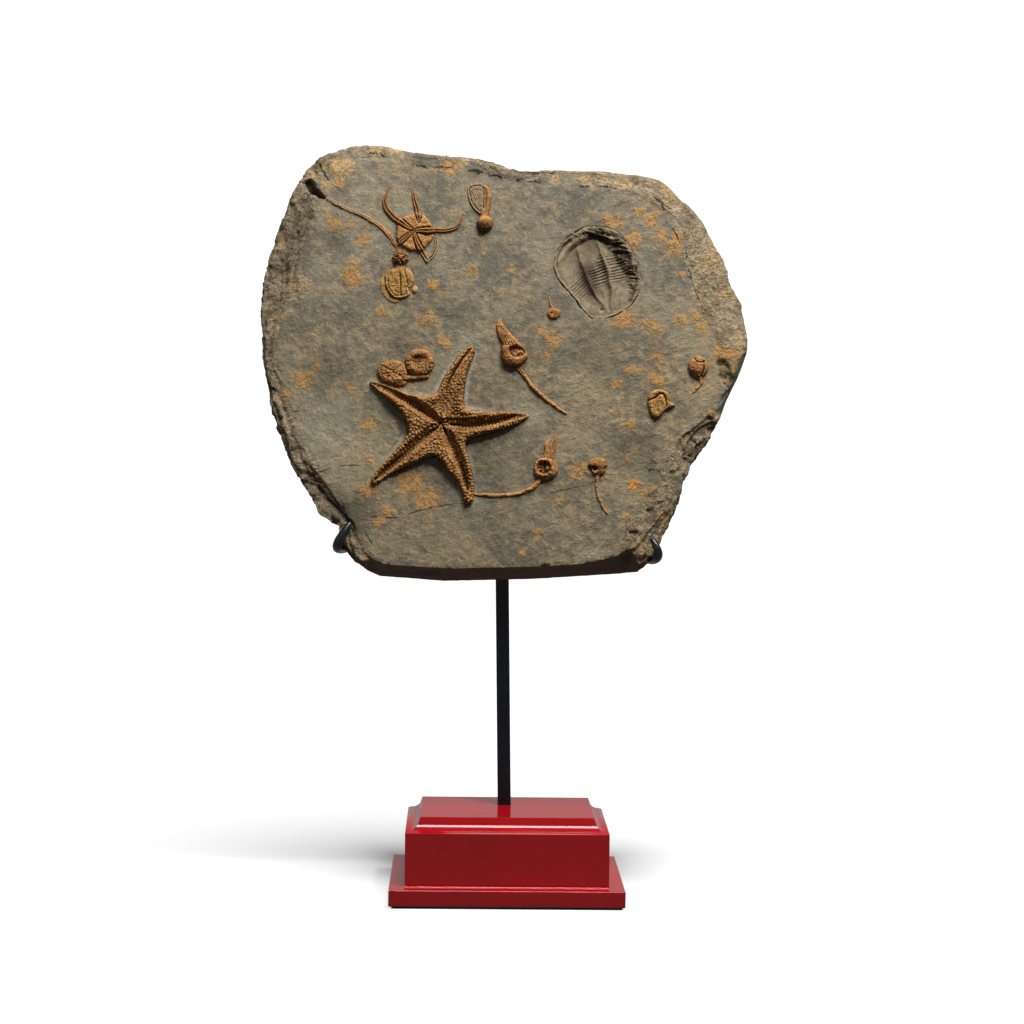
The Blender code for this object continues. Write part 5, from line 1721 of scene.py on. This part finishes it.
def plinth_board(lacquer):
    board = cube(PLINTH, PAD_TOP, (BASE_X, 0))
    smooth_edges(board, 0.8)
    board.data.transform(Matrix.Scale(MM, 4))
    finished(board, "lacquered_plinth", lacquer, "red_lacquer", "base_plinth")


def cove_block(lacquer):
    """The block, drawn up from a thin sheet: a foot, a wall, a ledge, the cove and the edge above it."""
    block = cube((BLOCK[0] + 2 * FOOT, BLOCK[1] + 2 * FOOT, 0.05), BLOCK_BOTTOM - 0.05, (BASE_X, 0))
    wall = (0.0, BLOCK_EDGE - BLOCK_BOTTOM - FOOT)
    steps = [*hollow_steps((FOOT, FOOT), 5), wall, LEDGE, *hollow_steps(COVE, 18, 3.0), FILLET]
    pick_top(block)
    for inwards, upwards in steps:
        bpy.ops.mesh.inset(thickness=inwards, depth=0.0)
        bpy.ops.transform.translate(value=(0, 0, upwards))
    bpy.ops.object.mode_set(mode="OBJECT")
    smooth_edges(block, 0.35)
    block.data.transform(Matrix.Scale(MM, 4))
    finished(block, "lacquered_block", lacquer, "red_lacquer", "base_block")


def square_pole(paint):
    """The bar, upright from the base and then bent back along the slab."""
    lean = math.radians(LEAN)
    up = Vector((math.sin(lean), math.cos(lean)))
    out = Vector((-math.cos(lean), math.sin(lean)))
    corner = Vector(SLAB_FOOT[1:]) - Vector((0, BLOCK_TOP))
    pole = cube((POLE_WIDTH, POLE_WIDTH, 1.0), 0.0)
    pick_top(pole)
    bpy.ops.mesh.extrude_region_move()
    bpy.ops.object.mode_set(mode="OBJECT")
    points = points_of(pole)
    lowest = points[:, 2].min()
    for point, vertex in zip(points, pole.data.vertices):
        behind = POLE_WIDTH if point[1] > 0 else 0.0
        start = corner - out * (SLAB_THICK + CLEAR + behind)
        if vertex.select:
            point[1:] = start + up * POLE_TOP
        elif point[2] < lowest + 0.5:
            point[1:] = (POLE_FRONT_Y + behind, -POLE_SUNK)
        else:
            point[1:] = start + up * ((POLE_FRONT_Y + behind - start.x) / up.x)
    move_points(pole, points)
    smooth_edges(pole, 0.55, 2, 5)
    foot = Matrix.Translation(Vector((POLE_X, 0, BLOCK_TOP)) * MM)
    tilt = Matrix.Rotation(math.radians(-POLE_TILT), 4, "Y")
    pole.data.transform(foot @ tilt @ Matrix.Scale(MM, 4))
    finished(pole, "square_pole", paint, "black_paint", "pole")


ROD_RADIUS, TIP_RADIUS = 3.1, 1.6
BACK = -(SLAB_THICK + CLEAR + ROD_RADIUS)
# How far the rods lie to either side of the slab's middle, where they run along the bar
BAR_X, BESIDE_BAR = -2.6, POLE_WIDTH / 2 + ROD_RADIUS + 0.3
LEFT_X, RIGHT_X = BAR_X - BESIDE_BAR, BAR_X + BESIDE_BAR
# Each rod from beside the bar along the slab's back, round its lower edge and up in front of it
HOOK_ROUTES = {
    "hook_left": [
        (LEFT_X - 0.8, 130, BACK), (LEFT_X - 1.2, 110, BACK), (LEFT_X - 9, 90, BACK), (-48, 60, BACK),
        (-86, 28, BACK), (-103, 16.4, BACK + 1), (-109.4, 13.4, -20.5), (-111.0, 12.6, -11),
        (-111.9, 12.6, 0.6), (-111.0, 15.6, 5.4), (-107.4, 22.0, 6.2), (-102.8, 29.6, 4.4),
    ],
    "hook_right": [
        (RIGHT_X + 0.2, 130, BACK), (RIGHT_X + 1.2, 110, BACK), (RIGHT_X + 9, 90, BACK), (46, 56, BACK),
        (82, 22, BACK), (94.5, 11.8, BACK + 1), (99.2, 8.6, -20.5), (101.0, 7.4, -11),
        (103.2, 7.8, 0.6), (103.6, 11.0, 5.4), (101.8, 15.8, 5.8), (99.0, 20.8, 4.2),
    ],
}  # fmt: skip


def rod_radii(path):
    """The rod's radius all along: rounded ends, and a slight swelling before the taper to its tip."""
    run = np.concatenate([[0], np.cumsum(np.linalg.norm(np.diff(path, axis=0), axis=1))])
    left_over = run[-1] - run
    radii = TIP_RADIUS + (ROD_RADIUS - TIP_RADIUS) * ease(-2, 15, left_over)
    radii += 0.3 * np.exp(-(((left_over - 24) / 14) ** 2))
    for end, length in ((left_over, 1.8), (run, 2.5)):
        radii *= np.sqrt(np.clip(1 - np.clip(1 - end / length, 0, 1) ** 2, 0.02, 1))
    return radii


def drawn_rod(name, path, radii):
    """A closed round rod along a path in space."""
    curve = bpy.data.curves.new(name, "CURVE")
    curve.dimensions = "3D"
    curve.bevel_depth = 1.0
    curve.bevel_resolution = 6
    curve.use_fill_caps = False
    spline = curve.splines.new("POLY")
    spline.points.add(len(path) - 1)
    for point, spot, radius in zip(spline.points, path, radii):
        point.co = (*spot, 1.0)
        point.radius = radius
    drawn = bpy.data.objects.new(name, curve)
    bpy.context.scene.collection.objects.link(drawn)
    only(drawn)
    bpy.ops.object.convert(target="MESH")
    bpy.ops.object.mode_set(mode="EDIT")
    bpy.ops.mesh.select_mode(type="VERT")
    bpy.ops.mesh.select_all(action="SELECT")
    bpy.ops.mesh.remove_doubles(threshold=0.001)
    bpy.ops.mesh.select_all(action="DESELECT")
    bpy.ops.mesh.select_non_manifold()
    bpy.ops.mesh.fill_holes(sides=0)
    bpy.ops.mesh.select_all(action="SELECT")
    bpy.ops.mesh.normals_make_consistent(inside=False)
    bpy.ops.object.mode_set(mode="OBJECT")
    bpy.ops.object.shade_smooth()
    return bpy.context.object


def hooks(paint):
    for name, route in HOOK_ROUTES.items():
        path = smooth_path(route, 1.4, 3)
        piece = drawn_rod(name, path, rod_radii(path))
        piece.data.transform(SLAB @ Matrix.Scale(MM, 4))
        finished(piece, name, paint, "black_paint", name.replace("hook_", "hook_arm_"))


# Camera, lights and floor


CAMERA_PLACE = (-28.3, -1628.1, 350.0)
YAW, PITCH, ROLL = 1.19, 3.16, 0.67
SENSOR, FOCAL_PIXELS, FRAME_PIXELS = 36, 2400, 1024


def camera():
    """Level with the middle of the part, and looking a little down and a degree to the right."""
    yaw, pitch, roll = map(math.radians, (YAW, PITCH, ROLL))
    ahead = Vector((math.sin(yaw) * math.cos(pitch), math.cos(yaw) * math.cos(pitch), -math.sin(pitch)))
    level = Vector((math.cos(yaw), -math.sin(yaw), 0))
    upright = level.cross(ahead)
    right = math.cos(roll) * level + math.sin(roll) * upright
    up = -math.sin(roll) * level + math.cos(roll) * upright
    turned = Matrix((right, up, -ahead)).transposed().to_4x4()
    data = bpy.data.cameras.new("camera")
    data.lens = SENSOR * FOCAL_PIXELS / FRAME_PIXELS
    data.sensor_width = SENSOR
    data.clip_start, data.clip_end = 0.05, 50
    made = bpy.data.objects.new("camera", data)
    made.matrix_world = Matrix.Translation(Vector(CAMERA_PLACE) * MM) @ turned
    bpy.context.scene.collection.objects.link(made)
    bpy.context.scene.camera = made


def softbox(name, place, aim, size, watts, mirrored=True):
    """A soft rectangular light that points at its aim; places and sizes are in metres."""
    data = bpy.data.lights.new(name, "AREA")
    data.shape = "RECTANGLE"
    data.size, data.size_y = size
    data.energy = watts
    made = bpy.data.objects.new(name, data)
    made.location = place
    made.rotation_euler = (Vector(aim) - Vector(place)).to_track_quat("-Z", "Y").to_euler()
    made.visible_glossy = mirrored
    bpy.context.scene.collection.objects.link(made)


def paper_finish():
    """White paper that glows like a lit backdrop, with a painted shadow where it glows less, close behind the
    base and beside it.
    """
    paper = Finish("white paper", 0.9, False, Specular_IOR_Level=0.1, Emission_Color=(1, 1, 1, 1))
    shadow = paper.vector("ABSOLUTE", paper.vector("SUBTRACT", paper.place, (BASE_X, 442, 0)))
    shadow = paper.vector("SUBTRACT", shadow, (PLINTH[0] / 2, PLINTH[1] / 4, 0))
    shadow = paper.vector("MULTIPLY", paper.vector("MAXIMUM", shadow, (0, 0, 0)), (1, 0.65, 1))
    fading = paper.math("POWER", 0.9726, paper.vector("LENGTH", shadow))
    glow = paper.math("SUBTRACT", 0.77, paper.both(fading, 0.56))
    paper.join(glow, paper.shader.inputs["Emission Strength"])
    return paper.done((0.3, 0.3, 0.3))


def paper_floor():
    """A stage floor that throws no light back up onto the part."""
    bpy.ops.object.select_all(action="DESELECT")
    bpy.ops.mesh.primitive_plane_add(size=2.3, location=(0, -0.35, 0))
    floor = bpy.context.object
    floor.name = "floor"
    floor.data.materials.append(paper_finish())
    floor.visible_diffuse = False
    floor.visible_glossy = False


def white_sky():
    """White all round: bright where it is seen, dimmer in mirror images, and faint as a light."""
    world = bpy.data.worlds.new("studio")
    bpy.context.scene.world = world
    world.use_nodes = True
    tree = world.node_tree
    sky = tree.nodes["Background"]
    sky.inputs["Color"].default_value = (1, 1, 1, 1)
    rays = tree.nodes.new("ShaderNodeLightPath")
    seen, mirrored = (tree.nodes.new("ShaderNodeMath") for _ in range(2))
    for step, ray, amount in ((seen, "Is Camera Ray", 1.1), (mirrored, "Is Glossy Ray", 0.32)):
        step.operation = "MULTIPLY_ADD"
        tree.links.new(rays.outputs[ray], step.inputs[0])
        step.inputs[1].default_value = amount
    seen.inputs[2].default_value = 0.05
    tree.links.new(seen.outputs[0], mirrored.inputs[2])
    tree.links.new(mirrored.outputs[0], sky.inputs["Strength"])


def studio():
    paper_floor()
    white_sky()
    softbox("key", (0.22, -0.50, 1.72), (0.22, 0.0, 0.36), (0.80, 0.62), 41)
    softbox("side", (0.62, -0.70, 1.50), (0.0, 0.0, 0.36), (0.14, 0.14), 17)
    softbox("fill", (-1.7, -1.4, 0.9), (0.0, 0.0, 0.3), (0.8, 0.8), 3)
    # it lets the back be seen, and leaves no mirror image in the lacquer
    softbox("back", (0.0, 1.7, 0.36), (0.0, 0.0, 0.36), (1.4, 0.7), 16, mirrored=False)
    bpy.context.scene.view_settings.view_transform = "Standard"


camera()
studio()
slab_stone()
fossils()
lacquer = lacquer_finish()
plinth_board(lacquer)
cove_block(lacquer)
square_pole(steel_finish())
hooks(steel_finish("black gloss paint", 0.4))
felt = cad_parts["felt_pad"]
for slot in felt.material_slots:
    slot.material = felt_finish()
